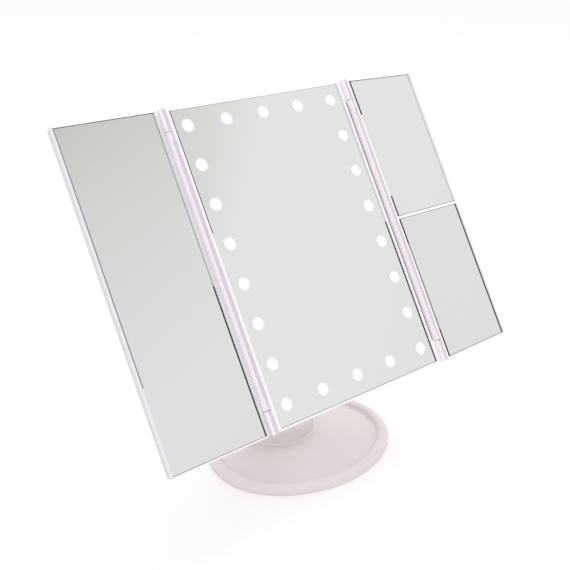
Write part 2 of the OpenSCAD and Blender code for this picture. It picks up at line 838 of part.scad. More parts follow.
module hinge_bracket() color("#ECE8E8") {
  in_head() difference() {
    union() {
      translate([0, 0, pivot_rise])
        soft_plate(bracket_w, bracket_h, centre_t, bracket_back, 5, 0, 1.2);
      for (s = sides) translate([s > 0 ? ear_out : -ear_in, 0, 0]) rotate([0, -90, 0])
        linear_extrude(ear_t) polygon([[pivot_rise - ear_half_h, bracket_back - 1],
          [pivot_rise - ear_half_h, bracket_back], [pivot_rise - stem_head_r, pivot_depth],
          [pivot_rise + stem_head_r, pivot_depth], [pivot_rise + ear_half_h, bracket_back],
          [pivot_rise + ear_half_h, bracket_back - 1]]);
      for (s = sides) x_rod(s > 0 ? ear_in : -ear_out, s > 0 ? ear_out : -ear_in,
        pivot_depth, pivot_rise, stem_head_r);
    }
    x_rod(-2 * ear_out, 2 * ear_out, pivot_depth, pivot_rise, axle_r + run_fit);
    for (p = bracket_screw_places) y_rod(p[0], p[1], 0, 2 * centre_t, bracket_screw_r + slip);
  }
}

module bracket_screws() color("#C4C6C8") {
  in_head() for (p = bracket_screw_places)
    screw_in_back(p[0], bracket_back + bracket_head_h, p[1], bracket_head_r, bracket_head_h,
      bracket_screw_r, bracket_screw_len);
}

module tilt_axle() color("#AEB2B5") {
  in_head() {
    x_rod(-ear_out, ear_out + thread_len, pivot_depth, pivot_rise, axle_r);
    x_rod(-ear_out - axle_head_t, -ear_out, pivot_depth, pivot_rise, axle_head_r);
  }
}

module axle_nut() color("#AEB2B5") {
  in_head() translate([ear_out, pivot_depth, pivot_rise]) rotate([0, 90, 0]) difference() {
    cylinder(h = nut_t, r = nut_r, $fn = 6);
    translate([0, 0, -1]) cylinder(h = nut_t + 2, r = axle_r + run_fit);
  }
}

module wing_pins() color("#AEB2B5") {
  in_head() for (s = sides) for (t = [0, 1]) mirror([0, 0, t])
    translate([s * hinge_x, hinge_y, knuckle_z - pin_reach])
      cylinder(h = pin_reach + knuckle_len - pin_sunk, r = wing_pin_r);
}

// ---- Wings ----

// Hinge barrel of a right wing, with its web to the frame and the flute along its front
module wing_barrel() {
  difference() {
    union() {
      translate([hinge_x, hinge_y, -barrel_len / 2]) cylinder(h = barrel_len, r = barrel_r);
      translate([hinge_x, wing_y, -barrel_len / 2])
        cube([wing_in - hinge_x + 1, barrel_r, barrel_len]);
    }
    translate([hinge_x, hinge_y - barrel_r - flute_r + flute_depth, 0]) {
      translate([0, 0, flute_end - barrel_len / 2]) cylinder(h = barrel_len - 2 * flute_end, r = flute_r);
      for (s = sides) translate([0, 0, s * (barrel_len / 2 - flute_end)]) sphere(r = flute_r);
    }
    translate([hinge_x, hinge_y, -panel_h]) cylinder(h = 2 * panel_h, r = wing_pin_r + run_fit);
  }
}

// Room for the glass, pad and back panel behind a wing's lip, and the view through the lip
module wing_opening(z0, z1, lip_low, lip_high) {
  translate([wing_view_mid, 0, (z0 + z1) / 2]) y_slab(wing_glass_w + 2 * fit, z1 - z0, wing_glass_y,
    wing_glass_back);
  translate([wing_view_mid, 0, (z0 + lip_low + z1 - lip_high) / 2])
    y_slab(wing_view_w, z1 - z0 - lip_low - lip_high, wing_y - 1, wing_glass_y + eps);
}

// Frame of a right wing, with a rib across its middle if it holds two mirrors
module wing_frame(split) {
  rim = wing_end_overlap + fit;
  half = wing_glass_h / 2 + fit;
  rib = (divider_w - divider_web) / 2;
  difference() {
    translate([wing_mid, 0, 0]) soft_plate(wing_w, panel_h, wing_y, wing_back_y, plan_r, 1, 1.5);
    if (split) {
      wing_opening(divider_web / 2, half, rib, rim);
      wing_opening(-half, -divider_web / 2, rim, rib);
    } else {
      wing_opening(-half, half, rim, rim);
    }
    translate([wing_view_mid, 0, 0])
      y_slab(wing_glass_w + 2 * fit, 2 * half, wing_glass_back - eps, wing_back_y + 1);
  }
  wing_barrel();
}

// Pane of glass behind a wing's lip
module wing_glass(z, h) {
  translate([wing_view_mid, 0, z]) y_slab(wing_glass_w, h, wing_glass_y, wing_glass_back);
}

// Foam sheet between a wing's glass and its back panel
module wing_pad() {
  translate([wing_view_mid, 0, 0])
    y_slab(wing_glass_w - pad_short, wing_glass_h - pad_short, wing_glass_back,
      wing_back_y - wing_panel_in);
}

module wing_back_panel() {
  translate([wing_view_mid, 0, 0])
    y_slab(wing_glass_w, wing_glass_h, wing_back_y - wing_panel_in, wing_back_y - wing_panel_sunk);
}

module left_frame() color("#F4F3F4") { in_wing(-1, left_open) wing_frame(false); }
module left_mirror() color("#D6D7D3") { in_wing(-1, left_open) wing_glass(0, wing_glass_h); }
module left_pad() color("#DDDDDA") { in_wing(-1, left_open) wing_pad(); }
module left_back() color("#F1F0F1") { in_wing(-1, left_open) wing_back_panel(); }

module right_frame() color("#F4F3F4") { in_wing(1, right_open) wing_frame(true); }
module upper_magnifier() color("#DFE0DC") {
  in_wing(1, right_open) wing_glass(half_glass_mid, half_glass_h);
}
module lower_magnifier() color("#DFE0DC") {
  in_wing(1, right_open) wing_glass(-half_glass_mid, half_glass_h);
}
module right_pad() color("#DDDDDA") { in_wing(1, right_open) wing_pad(); }
module right_back() color("#F1F0F1") { in_wing(1, right_open) wing_back_panel(); }

// ---- Pieces that slide ----

module battery_door() color("#EDECEC") {
  in_head() {
    intersection() {
      pod_block();
      translate([-door_w / 2, door_y, pod_bottom]) cube([door_w, pod_back, door_top - pod_bottom]);
    }
    translate([-door_w / 2 - tongue_w, door_y, pod_bottom + tongue_low])
      cube([door_w + 2 * tongue_w, tongue_t, door_top - tongue_high - tongue_low - pod_bottom]);
    for (i = [0:grip_count - 1])
      x_rod(-grip_half_w, grip_half_w, pod_back, door_top - grip_down - grip_pitch * i, grip_r);
  }
}

module power_button() color("#E4E3E4") {
  in_head() translate([board_x, flange_y, button_z]) rotate([-90, 0, 0]) rotate_extrude() {
    square([button_d / 2 + flange_out, flange_back - flange_y]);
    square([button_d / 2, button_back - flange_y - button_round]);
    square([button_d / 2 - button_round, button_back - flange_y]);
    translate([button_d / 2 - button_round, button_back - flange_y - button_round])
      circle(r = button_round);
  }
}

base_tray();
base_cover();
ballast_plate();
non_slip_pad();
base_screws();
stem_front();
stem_back();
stem_foot_screws();
stem_cover_screws();
friction_washers();
centre_frame();
centre_mirror();
light_windows();
light_baffle();
led_strips();
led_chips();
backing_plate();
centre_back();
back_screws();
battery_cells();
contact_plates();
contact_springs();
control_board();
usb_socket();
tact_switch();
lead_wires();
hinge_bracket();
bracket_screws();
tilt_axle();
axle_nut();
wing_pins();
left_frame();
left_mirror();
left_pad();
left_back();
right_frame();
upper_magnifier();
lower_magnifier();
right_pad();
right_back();
battery_door();
power_button();
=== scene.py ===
"""Looks of the trifold vanity mirror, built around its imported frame.

Every length in this file is in millimetres and turned to metres where a mesh is placed. The panel's
own axes are x to the right, y from the front lip to the back, and z up the panel.
"""

import json
import logging
import math
from dataclasses import dataclass
from enum import Enum
from typing import Any, Callable, Iterable, Sequence

import bmesh
import bpy
from mathutils import Matrix, Vector

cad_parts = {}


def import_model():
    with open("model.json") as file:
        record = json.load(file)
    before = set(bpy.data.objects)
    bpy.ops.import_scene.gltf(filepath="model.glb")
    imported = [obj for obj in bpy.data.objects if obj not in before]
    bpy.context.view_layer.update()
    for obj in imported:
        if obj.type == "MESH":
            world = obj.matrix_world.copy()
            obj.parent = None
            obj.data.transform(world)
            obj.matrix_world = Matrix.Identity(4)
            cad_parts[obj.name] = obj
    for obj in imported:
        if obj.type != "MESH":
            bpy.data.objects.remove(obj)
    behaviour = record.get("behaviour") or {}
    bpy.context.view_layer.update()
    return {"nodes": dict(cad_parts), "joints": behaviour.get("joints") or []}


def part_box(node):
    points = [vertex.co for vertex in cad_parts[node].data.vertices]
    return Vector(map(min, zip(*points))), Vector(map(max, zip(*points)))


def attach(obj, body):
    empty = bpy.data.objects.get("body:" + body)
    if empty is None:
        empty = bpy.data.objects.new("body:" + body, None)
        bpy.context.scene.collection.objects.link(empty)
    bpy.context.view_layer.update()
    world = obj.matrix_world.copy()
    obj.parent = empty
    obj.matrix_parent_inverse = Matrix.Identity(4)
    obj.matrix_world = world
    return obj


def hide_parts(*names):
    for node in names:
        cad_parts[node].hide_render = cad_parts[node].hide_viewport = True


LOG = logging.getLogger("vanity_mirror")
MM = 0.001
# A bead's edges are rounded only a little, because a round edge catches light and pales the line.
BEAD_ROUND_SHARE = 0.1
BEVEL_STEPS = 2
DISC_SEGMENTS = 40
MERGE_MM = 0.0005
SHARP_DEGREES = 40

BMesh = bmesh.types.BMesh
Point = tuple[float, float, float]


class Body(str, Enum):
    """The bodies that the pieces of this file ride on."""

    STAND = "stand"
    HEAD = "head"
    LEFT_WING = "left_wing"
    RIGHT_WING = "right_wing"
    BUTTON = "button"


class Side(int, Enum):
    """Left or right, as seen from the front, and also the sign of x."""

    LEFT = -1
    RIGHT = 1


class Edge(str, Enum):
    """An edge of a pane of glass, as seen from the front."""

    LEFT = "left"
    RIGHT = "right"
    TOP = "top"
    BOTTOM = "bottom"


# ---- Node and colour helpers ----


def linear(code: str) -> tuple[float, float, float, float]:
    """Turns an sRGB hex colour to linear light.

    Args:
        code: The colour, such as "#E2D9DB".

    Returns:
        Red, green, blue and an alpha of 1.
    """
    parts = [int(code[i : i + 2], 16) / 255 for i in (1, 3, 5)]
    red, green, blue = (
        p / 12.92 if p <= 0.04045 else ((p + 0.055) / 1.055) ** 2.4 for p in parts
    )
    return red, green, blue, 1.0


def add_node(
    material: bpy.types.Material | bpy.types.World,
    kind: str,
    inputs: dict[str | int, Any] | None = None,
    **settings: Any,
) -> bpy.types.Node:
    """Adds a node with its settings, its values and its links.

    Args:
        material: The material or world that gets the node.
        kind: The node's type name.
        inputs: A value or an output socket for each named or numbered input.
        **settings: The node's own properties.

    Returns:
        The new node.
    """
    tree = material.node_tree
    node = tree.nodes.new(kind)
    for name, value in settings.items():
        setattr(node, name, value)
    for key, value in (inputs or {}).items():
        if isinstance(value, bpy.types.NodeSocket):
            tree.links.new(value, node.inputs[key])
        else:
            node.inputs[key].default_value = value
    return node


def empty_material(name: str) -> bpy.types.Material:
    """Makes a material with an empty node tree.

    Args:
        name: The material's name.

    Returns:
        The new material.
    """
    material = bpy.data.materials.new(name)
    material.use_nodes = True
    material.node_tree.nodes.clear()
    return material


def pattern_scale(size_mm: float) -> float:
    """Gives the texture scale at which a pattern on metres repeats about every size_mm."""
    return 1 / (size_mm * MM)


def add_ramp(
    material: bpy.types.Material,
    share: bpy.types.NodeSocket,
    stops: Sequence[tuple[float, str]],
) -> bpy.types.NodeSocket:
    """Adds a colour ramp through stops.

    Args:
        material: The material that gets the node.
        share: The socket that runs along the ramp.
        stops: The place and the sRGB hex colour of each stop, in order.

    Returns:
        The ramp's colour.
    """
    ramp = add_node(material, "ShaderNodeValToRGB", {"Fac": share})
    elements = ramp.color_ramp.elements
    while len(elements) < len(stops):
        elements.new(1.0)
    for element, (place, colour) in zip(elements, stops):
        element.position = place
        element.color = linear(colour)
    return ramp.outputs["Color"]


# ---- Finishes ----


@dataclass(frozen=True)
class MouldedPlastic:
    """Injection-moulded plastic: smooth, faintly mottled, with the mould's fine spark grain.

    The grain breaks up the highlight, and the broad mottle keeps a large pale face from looking
    flat. The frame's plastic also has painted light and shade on its barrels, lips and walls.
    """

    name: str
    colour: str
    tint: str
    roughness: float = 0.32
    grain_mm: float = 1.1
    mottle_mm: float = 26.0
    bump: float = 0.05
    # Painted light and shade: the barrels' lit and shaded sides, and the grey shade on lips and
    # walls.
    barrel_painted_lit: str = ""
    barrel_painted_shade: str = ""
    barrel_x: float = 82.8
    barrel_r: float = 3.0
    outer_lip_painted_shade: str = ""
    wall_and_inner_lip_painted_shade: str = ""
    inner_lip_x: float = 89.0
    lip_x: float = 162.8
    wall_x: float = 165.0
    band_margin: float = 0.1
    barrel_split: tuple[float, float] = (0.3, 0.45)
    lip_split: tuple[float, float] = (0.9, 0.97)
    gloss_spread: float = 0.04
    bump_depth: float = 0.02

    def banded_tone(
        self,
        material: bpy.types.Material,
        value: bpy.types.NodeSocket,
        plain: bpy.types.NodeSocket,
        band: tuple[float, float],
        stops: Sequence[tuple[float, str]],
    ) -> bpy.types.NodeSocket:
        """Tints the part of a piece that lies within a band of x.

        Args:
            material: The material that gets the nodes.
            value: The place across the band, in metres.
            plain: The colour away from the band.
            band: The band's two ends, in millimetres.
            stops: The tints across the band.

        Returns:
            The colour with the band tinted.
        """
        low, high = band
        across = add_node(
            material,
            "ShaderNodeMapRange",
            {"Value": value, "From Min": low * MM, "From Max": high * MM},
        )
        tone = add_ramp(material, across.outputs[0], stops)
        near = add_node(
            material,
            "ShaderNodeMath",
            {0: value, 1: (low + high) / 2 * MM, 2: ((high - low) / 2 + self.band_margin) * MM},
            operation="COMPARE",
        )
        mixed = add_node(
            material, "ShaderNodeMix", {0: near.outputs[0], 6: plain, 7: tone}, data_type="RGBA"
        )
        return mixed.outputs[2]

    def painted_light_and_shade(
        self, material: bpy.types.Material, place: bpy.types.NodeSocket, plain: bpy.types.NodeSocket
    ) -> bpy.types.NodeSocket:
        """Paints light and shade on the hinge barrels, and grey shade on the left wing's inner lip
        and both outer lips and walls.

        Args:
            material: The material that gets the nodes.
            place: The position on the piece, in metres.
            plain: The colour of the rest of the frame.

        Returns:
            The colour with all the painted light and shade in it.
        """
        x = add_node(material, "ShaderNodeSeparateXYZ", {0: place}).outputs[0]
        # Wrapping x by the distance between the hinges lays one barrel over the other.
        both = add_node(
            material, "ShaderNodeMath", {0: x, 1: 2 * self.barrel_x * MM, 2: 0.0}, operation="WRAP"
        )
        barrel = (self.barrel_x - self.barrel_r, self.barrel_x + self.barrel_r)
        lit_end, shade_start = self.barrel_split
        lip_end, wall_start = self.lip_split
        # Painted light and shade on each hinge barrel: a pink lit side and a lilac shaded side.
        tone = self.banded_tone(
            material,
            both.outputs[0],
            plain,
            barrel,
            [(0.0, self.barrel_painted_lit), (lit_end, self.barrel_painted_lit),
             (shade_start, self.barrel_painted_shade), (1.0, self.barrel_painted_shade)],
        )
        # Painted shade: the left wing's inner lip is greyed.
        tone = self.banded_tone(
            material,
            x,
            tone,
            (-self.inner_lip_x, -self.barrel_x - self.barrel_r - self.band_margin),
            [(0.0, self.wall_and_inner_lip_painted_shade), (1.0, self.wall_and_inner_lip_painted_shade)],
        )
        # Painted shade: both wings' outer lips and outer walls are greyed.
        out = add_node(material, "ShaderNodeMath", {0: x}, operation="ABSOLUTE")
        return self.banded_tone(
            material,
            out.outputs[0],
            tone,
            (self.lip_x, self.wall_x),
            [(0.0, self.outer_lip_painted_shade), (lip_end, self.outer_lip_painted_shade), (wall_start, self.wall_and_inner_lip_painted_shade)],
        )

    def build(self) -> bpy.types.Material:
        """Makes the material from its colours, its mottle and its grain."""
        material = empty_material(self.name)
        place = add_node(material, "ShaderNodeTexCoord").outputs["Object"]
        mottle = add_node(
            material,
            "ShaderNodeTexNoise",
            {"Vector": place, "Scale": pattern_scale(self.mottle_mm), "Detail": 2.0},
        )
        grain = add_node(
            material,
            "ShaderNodeTexNoise",
            {"Vector": place, "Scale": pattern_scale(self.grain_mm), "Detail": 3.0},
        )
        colour = add_node(
            material,
            "ShaderNodeMix",
            {0: mottle.outputs[0], 6: linear(self.colour), 7: linear(self.tint)},
            data_type="RGBA",
        )
        tone = colour.outputs[2]
        # Painted light and shade on the frame's barrels, lips and walls.
        if self.barrel_painted_lit:
            tone = self.painted_light_and_shade(material, place, tone)
        gloss = add_node(
            material,
            "ShaderNodeMapRange",
            {
                "Value": grain.outputs[0],
                "To Min": self.roughness - self.gloss_spread,
                "To Max": self.roughness + self.gloss_spread,
            },
        )
        relief = add_node(
            material,
            "ShaderNodeBump",
            {"Height": grain.outputs[0], "Strength": self.bump, "Distance": self.bump_depth * MM},
        )
        shader = add_node(
            material,
            "ShaderNodeBsdfPrincipled",
            {
                "Base Color": tone,
                "Roughness": gloss.outputs[0],
                "Normal": relief.outputs[0],
                "IOR": 1.53,
            },
        )
        add_node(material, "ShaderNodeOutputMaterial", {"Surface": shader.outputs[0]})
        return material


@dataclass(frozen=True)
class SilveredGlass:
    """Back-silvered float glass: a clean grey-green painted reflection that drifts a little in
    tone.

    The drift is a painted reflection, running down each pane from its upper left corner.
    """

    name: str
    tones: tuple[tuple[float, str], ...]
    start: Point
    slope: Point
    roughness: float = 0.015
    cloud_mm: float = 90.0
    cloud_share: float = 0.06

    def build(self) -> bpy.types.Material:
        """Makes the material, its tone going through the stops from start along slope."""
        material = empty_material(self.name)
        place = add_node(material, "ShaderNodeTexCoord").outputs["Object"]
        away = add_node(
            material, "ShaderNodeVectorMath", {0: place, 1: self.start}, operation="SUBTRACT"
        )
        along = add_node(
            material,
            "ShaderNodeVectorMath",
            {0: away.outputs[0], 1: self.slope},
            operation="DOT_PRODUCT",
        )
        cloud = add_node(
            material,
            "ShaderNodeTexNoise",
            {"Vector": place, "Scale": pattern_scale(self.cloud_mm), "Detail": 1.0},
        )
        drift = add_node(
            material,
            "ShaderNodeMath",
            {0: cloud.outputs[0], 1: self.cloud_share, 2: along.outputs["Value"]},
            operation="MULTIPLY_ADD",
        )
        # The base colour is a painted reflection, drifting from start along slope.
        shader = add_node(
            material,
            "ShaderNodeBsdfPrincipled",
            {
                "Base Color": add_ramp(material, drift.outputs[0], self.tones),
                "Metallic": 1.0,
                "Roughness": self.roughness,
            },
        )
        add_node(material, "ShaderNodeOutputMaterial", {"Surface": shader.outputs[0]})
        return material


@dataclass(frozen=True)
class WorkedMetal:
    """Plated or turned steel: bright, with fine tool marks that streak its gloss."""

    name: str
    colour: str
    dull: str
    roughness: float = 0.28
    mark_mm: float = 0.6
    gloss_drop: float = 0.08
    gloss_gain: float = 0.1

    def build(self) -> bpy.types.Material:
        """Makes the material, with its tool marks stretched along x."""
        material = empty_material(self.name)
        place = add_node(material, "ShaderNodeTexCoord").outputs["Object"]
        stretch = add_node(
            material, "ShaderNodeMapping", {"Vector": place, "Scale": (0.08, 1.0, 1.0)}
        )
        marks = add_node(
            material,
            "ShaderNodeTexNoise",
            {"Vector": stretch.outputs[0], "Scale": pattern_scale(self.mark_mm), "Detail": 4.0},
        )
        colour = add_node(
            material,
            "ShaderNodeMix",
            {0: marks.outputs[0], 6: linear(self.colour), 7: linear(self.dull)},
            data_type="RGBA",
        )
        gloss = add_node(
            material,
            "ShaderNodeMapRange",
            {
                "Value": marks.outputs[0],
                "To Min": self.roughness - self.gloss_drop,
                "To Max": self.roughness + self.gloss_gain,
            },
        )
        shader = add_node(
            material,
            "ShaderNodeBsdfPrincipled",
            {"Base Color": colour.outputs[2], "Metallic": 1.0, "Roughness": gloss.outputs[0]},
        )
        add_node(material, "ShaderNodeOutputMaterial", {"Surface": shader.outputs[0]})
        return material


@dataclass(frozen=True)
class SoftSheet:
    """Rubber, foam or soft vinyl: matt, with open cells or dimples of a known size."""

    name: str
    colour: str
    deep: str
    cell_mm: float = 0.8
    roughness: float = 0.75

    def build(self) -> bpy.types.Material:
        """Makes the material from a cell pattern that darkens and dents the surface."""
        material = empty_material(self.name)
        place = add_node(material, "ShaderNodeTexCoord").outputs["Object"]
        cells = add_node(
            material,
            "ShaderNodeTexVoronoi",
            {"Vector": place, "Scale": pattern_scale(self.cell_mm)},
        )
        colour = add_node(
            material,
            "ShaderNodeMix",
            {0: cells.outputs["Distance"], 6: linear(self.deep), 7: linear(self.colour)},
            data_type="RGBA",
        )
        relief = add_node(
            material,
            "ShaderNodeBump",
            {"Height": cells.outputs["Distance"], "Strength": 0.3, "Distance": 0.05 * MM},
        )
        shader = add_node(
            material,
            "ShaderNodeBsdfPrincipled",
            {
                "Base Color": colour.outputs[2],
                "Roughness": self.roughness,
                "Normal": relief.outputs[0],
            },
        )
        add_node(material, "ShaderNodeOutputMaterial", {"Surface": shader.outputs[0]})
        return material


@dataclass(frozen=True)
class LitDiffuser:
    """An even white glow, a little cooler in its grain: lamp-lit opal acrylic, and the painted
    halos.
    """

    name: str
    colour: str
    cool: str
    strength: float
    grain_mm: float = 1.5

    def build(self) -> bpy.types.Material:
        """Makes the glowing material."""
        material = empty_material(self.name)
        place = add_node(material, "ShaderNodeTexCoord").outputs["Object"]
        grain = add_node(
            material,
            "ShaderNodeTexNoise",
            {"Vector": place, "Scale": pattern_scale(self.grain_mm)},
        )
        glow = add_node(
            material,
            "ShaderNodeMix",
            {0: grain.outputs[0], 6: linear(self.colour), 7: linear(self.cool)},
            data_type="RGBA",
        )
        shader = add_node(
            material,
            "ShaderNodeBsdfPrincipled",
            {
                "Base Color": linear(self.colour),
                "Roughness": 0.45,
                "Emission Color": glow.outputs[2],
                "Emission Strength": self.strength,
            },
        )
        add_node(material, "ShaderNodeOutputMaterial", {"Surface": shader.outputs[0]})
        return material


Finish = MouldedPlastic | SilveredGlass | WorkedMetal | SoftSheet | LitDiffuser


# ---- Where the panels are ----


@dataclass(frozen=True)
class PanelPlace:
    """Where the middle panel and the wings stand at rest, read from the frame's joints."""

    left_hinge: Vector
    right_hinge: Vector
    up: Vector
    hinge_y: float = -0.8
    left_open: float = 1.0
    right_open: float = -5.5

    @classmethod
    def from_frame(cls, joints: Iterable[dict[str, Any]]) -> "PanelPlace":
        """Reads the wings' hinges from the frame.

        Args:
            joints: The frame's joints.

        Returns:
            The place of the panels.
        """
        named = {joint["name"]: joint for joint in joints}
        return cls(
            left_hinge=Vector(named["left_fold"]["pos_m"]),
            right_hinge=Vector(named["right_fold"]["pos_m"]),
            up=Vector(named["left_fold"]["axis"]).normalized(),
        )

    def head(self) -> Matrix:
        """Gives the matrix from the middle panel's own axes to the frame."""
        across = Vector((1, 0, 0))
        back = self.up.cross(across)
        origin = (self.left_hinge + self.right_hinge) / 2 - back * self.hinge_y * MM
        turn = Matrix((across, back, self.up)).transposed().to_4x4()
        return Matrix.Translation(origin) @ turn

    def wing(self, side: Side) -> Matrix:
        """Gives the matrix from a wing's axes, lying flat beside the panel, to the frame.

        Args:
            side: The wing's side.

        Returns:
            The matrix, with the wing turned to its angle at rest.
        """
        hinge_x = self.right_hinge.x * side.value
        hinge = Matrix.Translation((hinge_x, self.hinge_y * MM, 0))
        opened = self.right_open if side is Side.RIGHT else self.left_open
        turn = Matrix.Rotation(math.radians(-opened * side.value), 4, "Z")
        return self.head() @ hinge @ turn @ hinge.inverted()


# ---- Mesh helpers ----


def finish_mesh(
    mesh: BMesh, name: str, place: Matrix, material: bpy.types.Material
) -> bpy.types.Object:
    """Turns a bmesh in millimetres to an object that sits at the origin.

    Args:
        mesh: The mesh, which is freed.
        name: The new object's name.
        place: The matrix from the mesh's own axes to the frame.
        material: The object's material.

    Returns:
        The new object.
    """
    bmesh.ops.remove_doubles(mesh, verts=mesh.verts, dist=MERGE_MM)
    bmesh.ops.recalc_face_normals(mesh, faces=mesh.faces)
    bmesh.ops.transform(mesh, matrix=place @ Matrix.Scale(MM, 4), verts=mesh.verts)
    data = bpy.data.meshes.new(name)
    mesh.to_mesh(data)
    mesh.free()
    data.shade_smooth()
    data.set_sharp_from_angle(angle=math.radians(SHARP_DEGREES))
    data.materials.append(material)
    piece = bpy.data.objects.new(name, data)
    bpy.context.scene.collection.objects.link(piece)
    return piece


def bevel_all(
    mesh: BMesh, edges: Iterable[bmesh.types.BMEdge], width: float, segments: int
) -> None:
    """Rounds edges by width.

    Args:
        mesh: The mesh that holds the edges.
        edges: The edges to round.
        width: The radius, in millimetres.
        segments: The number of steps across each edge.
    """
    bmesh.ops.bevel(
        mesh,
        geom=list(edges),
        offset=width,
        segments=segments,
        profile=0.5,
        affect="EDGES",
        material=-1,
    )


def add_bar(mesh: BMesh, centre: Point, size: Point, round_r: float) -> None:
    """Adds a bar with rounded edges.

    Args:
        mesh: The mesh that gets the bar.
        centre: The bar's middle.
        size: The bar's width, depth and height.
        round_r: The radius of its edges.
    """
    made = bmesh.ops.create_cube(mesh, size=1.0)["verts"]
    bmesh.ops.scale(mesh, vec=size, verts=made)
    bmesh.ops.translate(mesh, vec=centre, verts=made)
    bevel_all(mesh, {edge for vert in made for edge in vert.link_edges}, round_r, BEVEL_STEPS)


def add_disc(
    mesh: BMesh, centre: Point, radius: float, steps: Sequence[tuple[float, float]]
) -> None:
    """Adds a disc that faces the front, stepped inwards and forwards to make a dome or a ring.

    Args:
        mesh: The mesh that gets the disc.
        centre: The middle of its back.
        radius: Its outer radius.
        steps: For each step, how far it goes in and how far it goes forward.
    """
    made = bmesh.ops.create_circle(
        mesh, cap_ends=True, radius=radius, segments=DISC_SEGMENTS
    )["verts"]
    turn = Matrix.Translation(centre) @ Matrix.Rotation(math.radians(90), 4, "X")
    bmesh.ops.transform(mesh, matrix=turn, verts=made)
    face = made[0].link_faces[0]
    for inward, forward in steps:
        bmesh.ops.inset_region(mesh, faces=[face], thickness=inward, use_even_offset=True)
        bmesh.ops.translate(mesh, vec=(0, -forward, 0), verts=face.verts)


# ---- Sub-assemblies ----


class Tone(str, Enum):
    """How dark a painted shade line along a glass edge looks."""

    BLACK = "black"
    GREY = "grey"


@dataclass(frozen=True)
class Bead:
    """A dark bar along one edge of a pane, a painted shade line, from low to high as shares of the
    edge.
    """

    edge: Edge
    tone: Tone
    low: float = 0.0
    high: float = 1.0
    width: float = 0.75
    rise: float = 0.3


@dataclass
class Pane:
    """One pane of glass as it shows through its frame, in its panel's axes."""

    left: float
    right: float
    bottom: float
    top: float
    front: float
    beads: Sequence[Bead]

    def add_beads(self, mesh: BMesh, tone: Tone) -> None:
        """Adds the pane's beads of one tone.

        Args:
            mesh: The mesh that gets the beads.
            tone: The tone of the beads to add.
        """
        for bead in self.beads:
            if bead.tone is not tone:
                continue
            half = bead.width / 2
            depth = self.front - bead.rise / 2
            if bead.edge in (Edge.LEFT, Edge.RIGHT):
                x = self.left + half if bead.edge is Edge.LEFT else self.right - half
                start = self.bottom + bead.low * (self.top - self.bottom)
                stop = self.bottom + bead.high * (self.top - self.bottom)
                centre = (x, depth, (start + stop) / 2)
                size = (bead.width, bead.rise, stop - start)
            else:
                z = self.bottom + half if bead.edge is Edge.BOTTOM else self.top - half
                start = self.left + bead.low * (self.right - self.left)
                stop = self.left + bead.high * (self.right - self.left)
                centre = ((start + stop) / 2, depth, z)
                size = (stop - start, bead.rise, bead.width)
            add_bar(mesh, centre, size, min(bead.width, bead.rise) * BEAD_ROUND_SHARE)


@dataclass
class LightRing:
    """The 22 round windows in the middle glass, and the rings of painted glow round each.

    The rings are low discs, each a step in front of the next larger one, with the windows on top.
    """

    place: PanelPlace
    pitch_x: float = 32.65
    pitch_z: float = 29.0
    across: int = 5
    up: int = 8
    rise: float = 0.9
    radius: float = 3.3
    glass_y: float = 1.2
    halo_w: float = 0.6
    halo_t: float = 0.03
    halo_edge: float = 0.1
    halo_step: float = 0.04
    lift: float = 0.01
    dome_steps: tuple[tuple[float, float], ...] = ((0.25, 0.1), (0.5, 0.12), (1.0, 0.06))

    def centres(self) -> list[tuple[float, float]]:
        """Gives the x and z of every window."""
        half_w = (self.across - 1) / 2 * self.pitch_x
        half_h = (self.up - 1) / 2 * self.pitch_z
        columns = [
            (side * half_w, self.rise - half_h + row * self.pitch_z)
            for row in range(self.up)
            for side in (-1, 1)
        ]
        rows = [
            (column * self.pitch_x - half_w, self.rise + side * half_h)
            for column in range(1, self.across - 1)
            for side in (-1, 1)
        ]
        return columns + rows

    def ring(self, index: int, below: int, material: bpy.types.Material) -> bpy.types.Object:
        """Makes one ring of painted glow round every window.

        Args:
            index: The ring's number, counted out from the window.
            below: How many larger rings lie behind it.
            material: The ring's material.

        Returns:
            The piece.
        """
        mesh = bmesh.new()
        outer = self.radius + (index + 1) * self.halo_w
        foot = self.glass_y - self.lift - below * self.halo_step
        for x, z in self.centres():
            add_disc(mesh, (x, foot, z), outer, [(self.halo_edge, self.halo_t)])
        return finish_mesh(mesh, f"window_painted_halo_{index}", self.place.head(), material)

    def build(
        self, windows: bpy.types.Material, halos: Sequence[bpy.types.Material]
    ) -> list[bpy.types.Object]:
        """Makes the domed windows and the rings of painted glow.

        Args:
            windows: The material of the windows.
            halos: The painted glow of each ring, counted out from the window.

        Returns:
            The domes and then the rings, all riding on the head.
        """
        domes = bmesh.new()
        count = len(halos)
        for x, z in self.centres():
            foot = (x, self.glass_y - self.lift - count * self.halo_step, z)
            add_disc(domes, foot, self.radius, self.dome_steps)
        pieces = [finish_mesh(domes, "window_domes", self.place.head(), windows)]
        pieces += [self.ring(index, count - 1 - index, halo) for index, halo in enumerate(halos)]
        for piece in pieces:
            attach(piece, Body.HEAD.value)
        return pieces


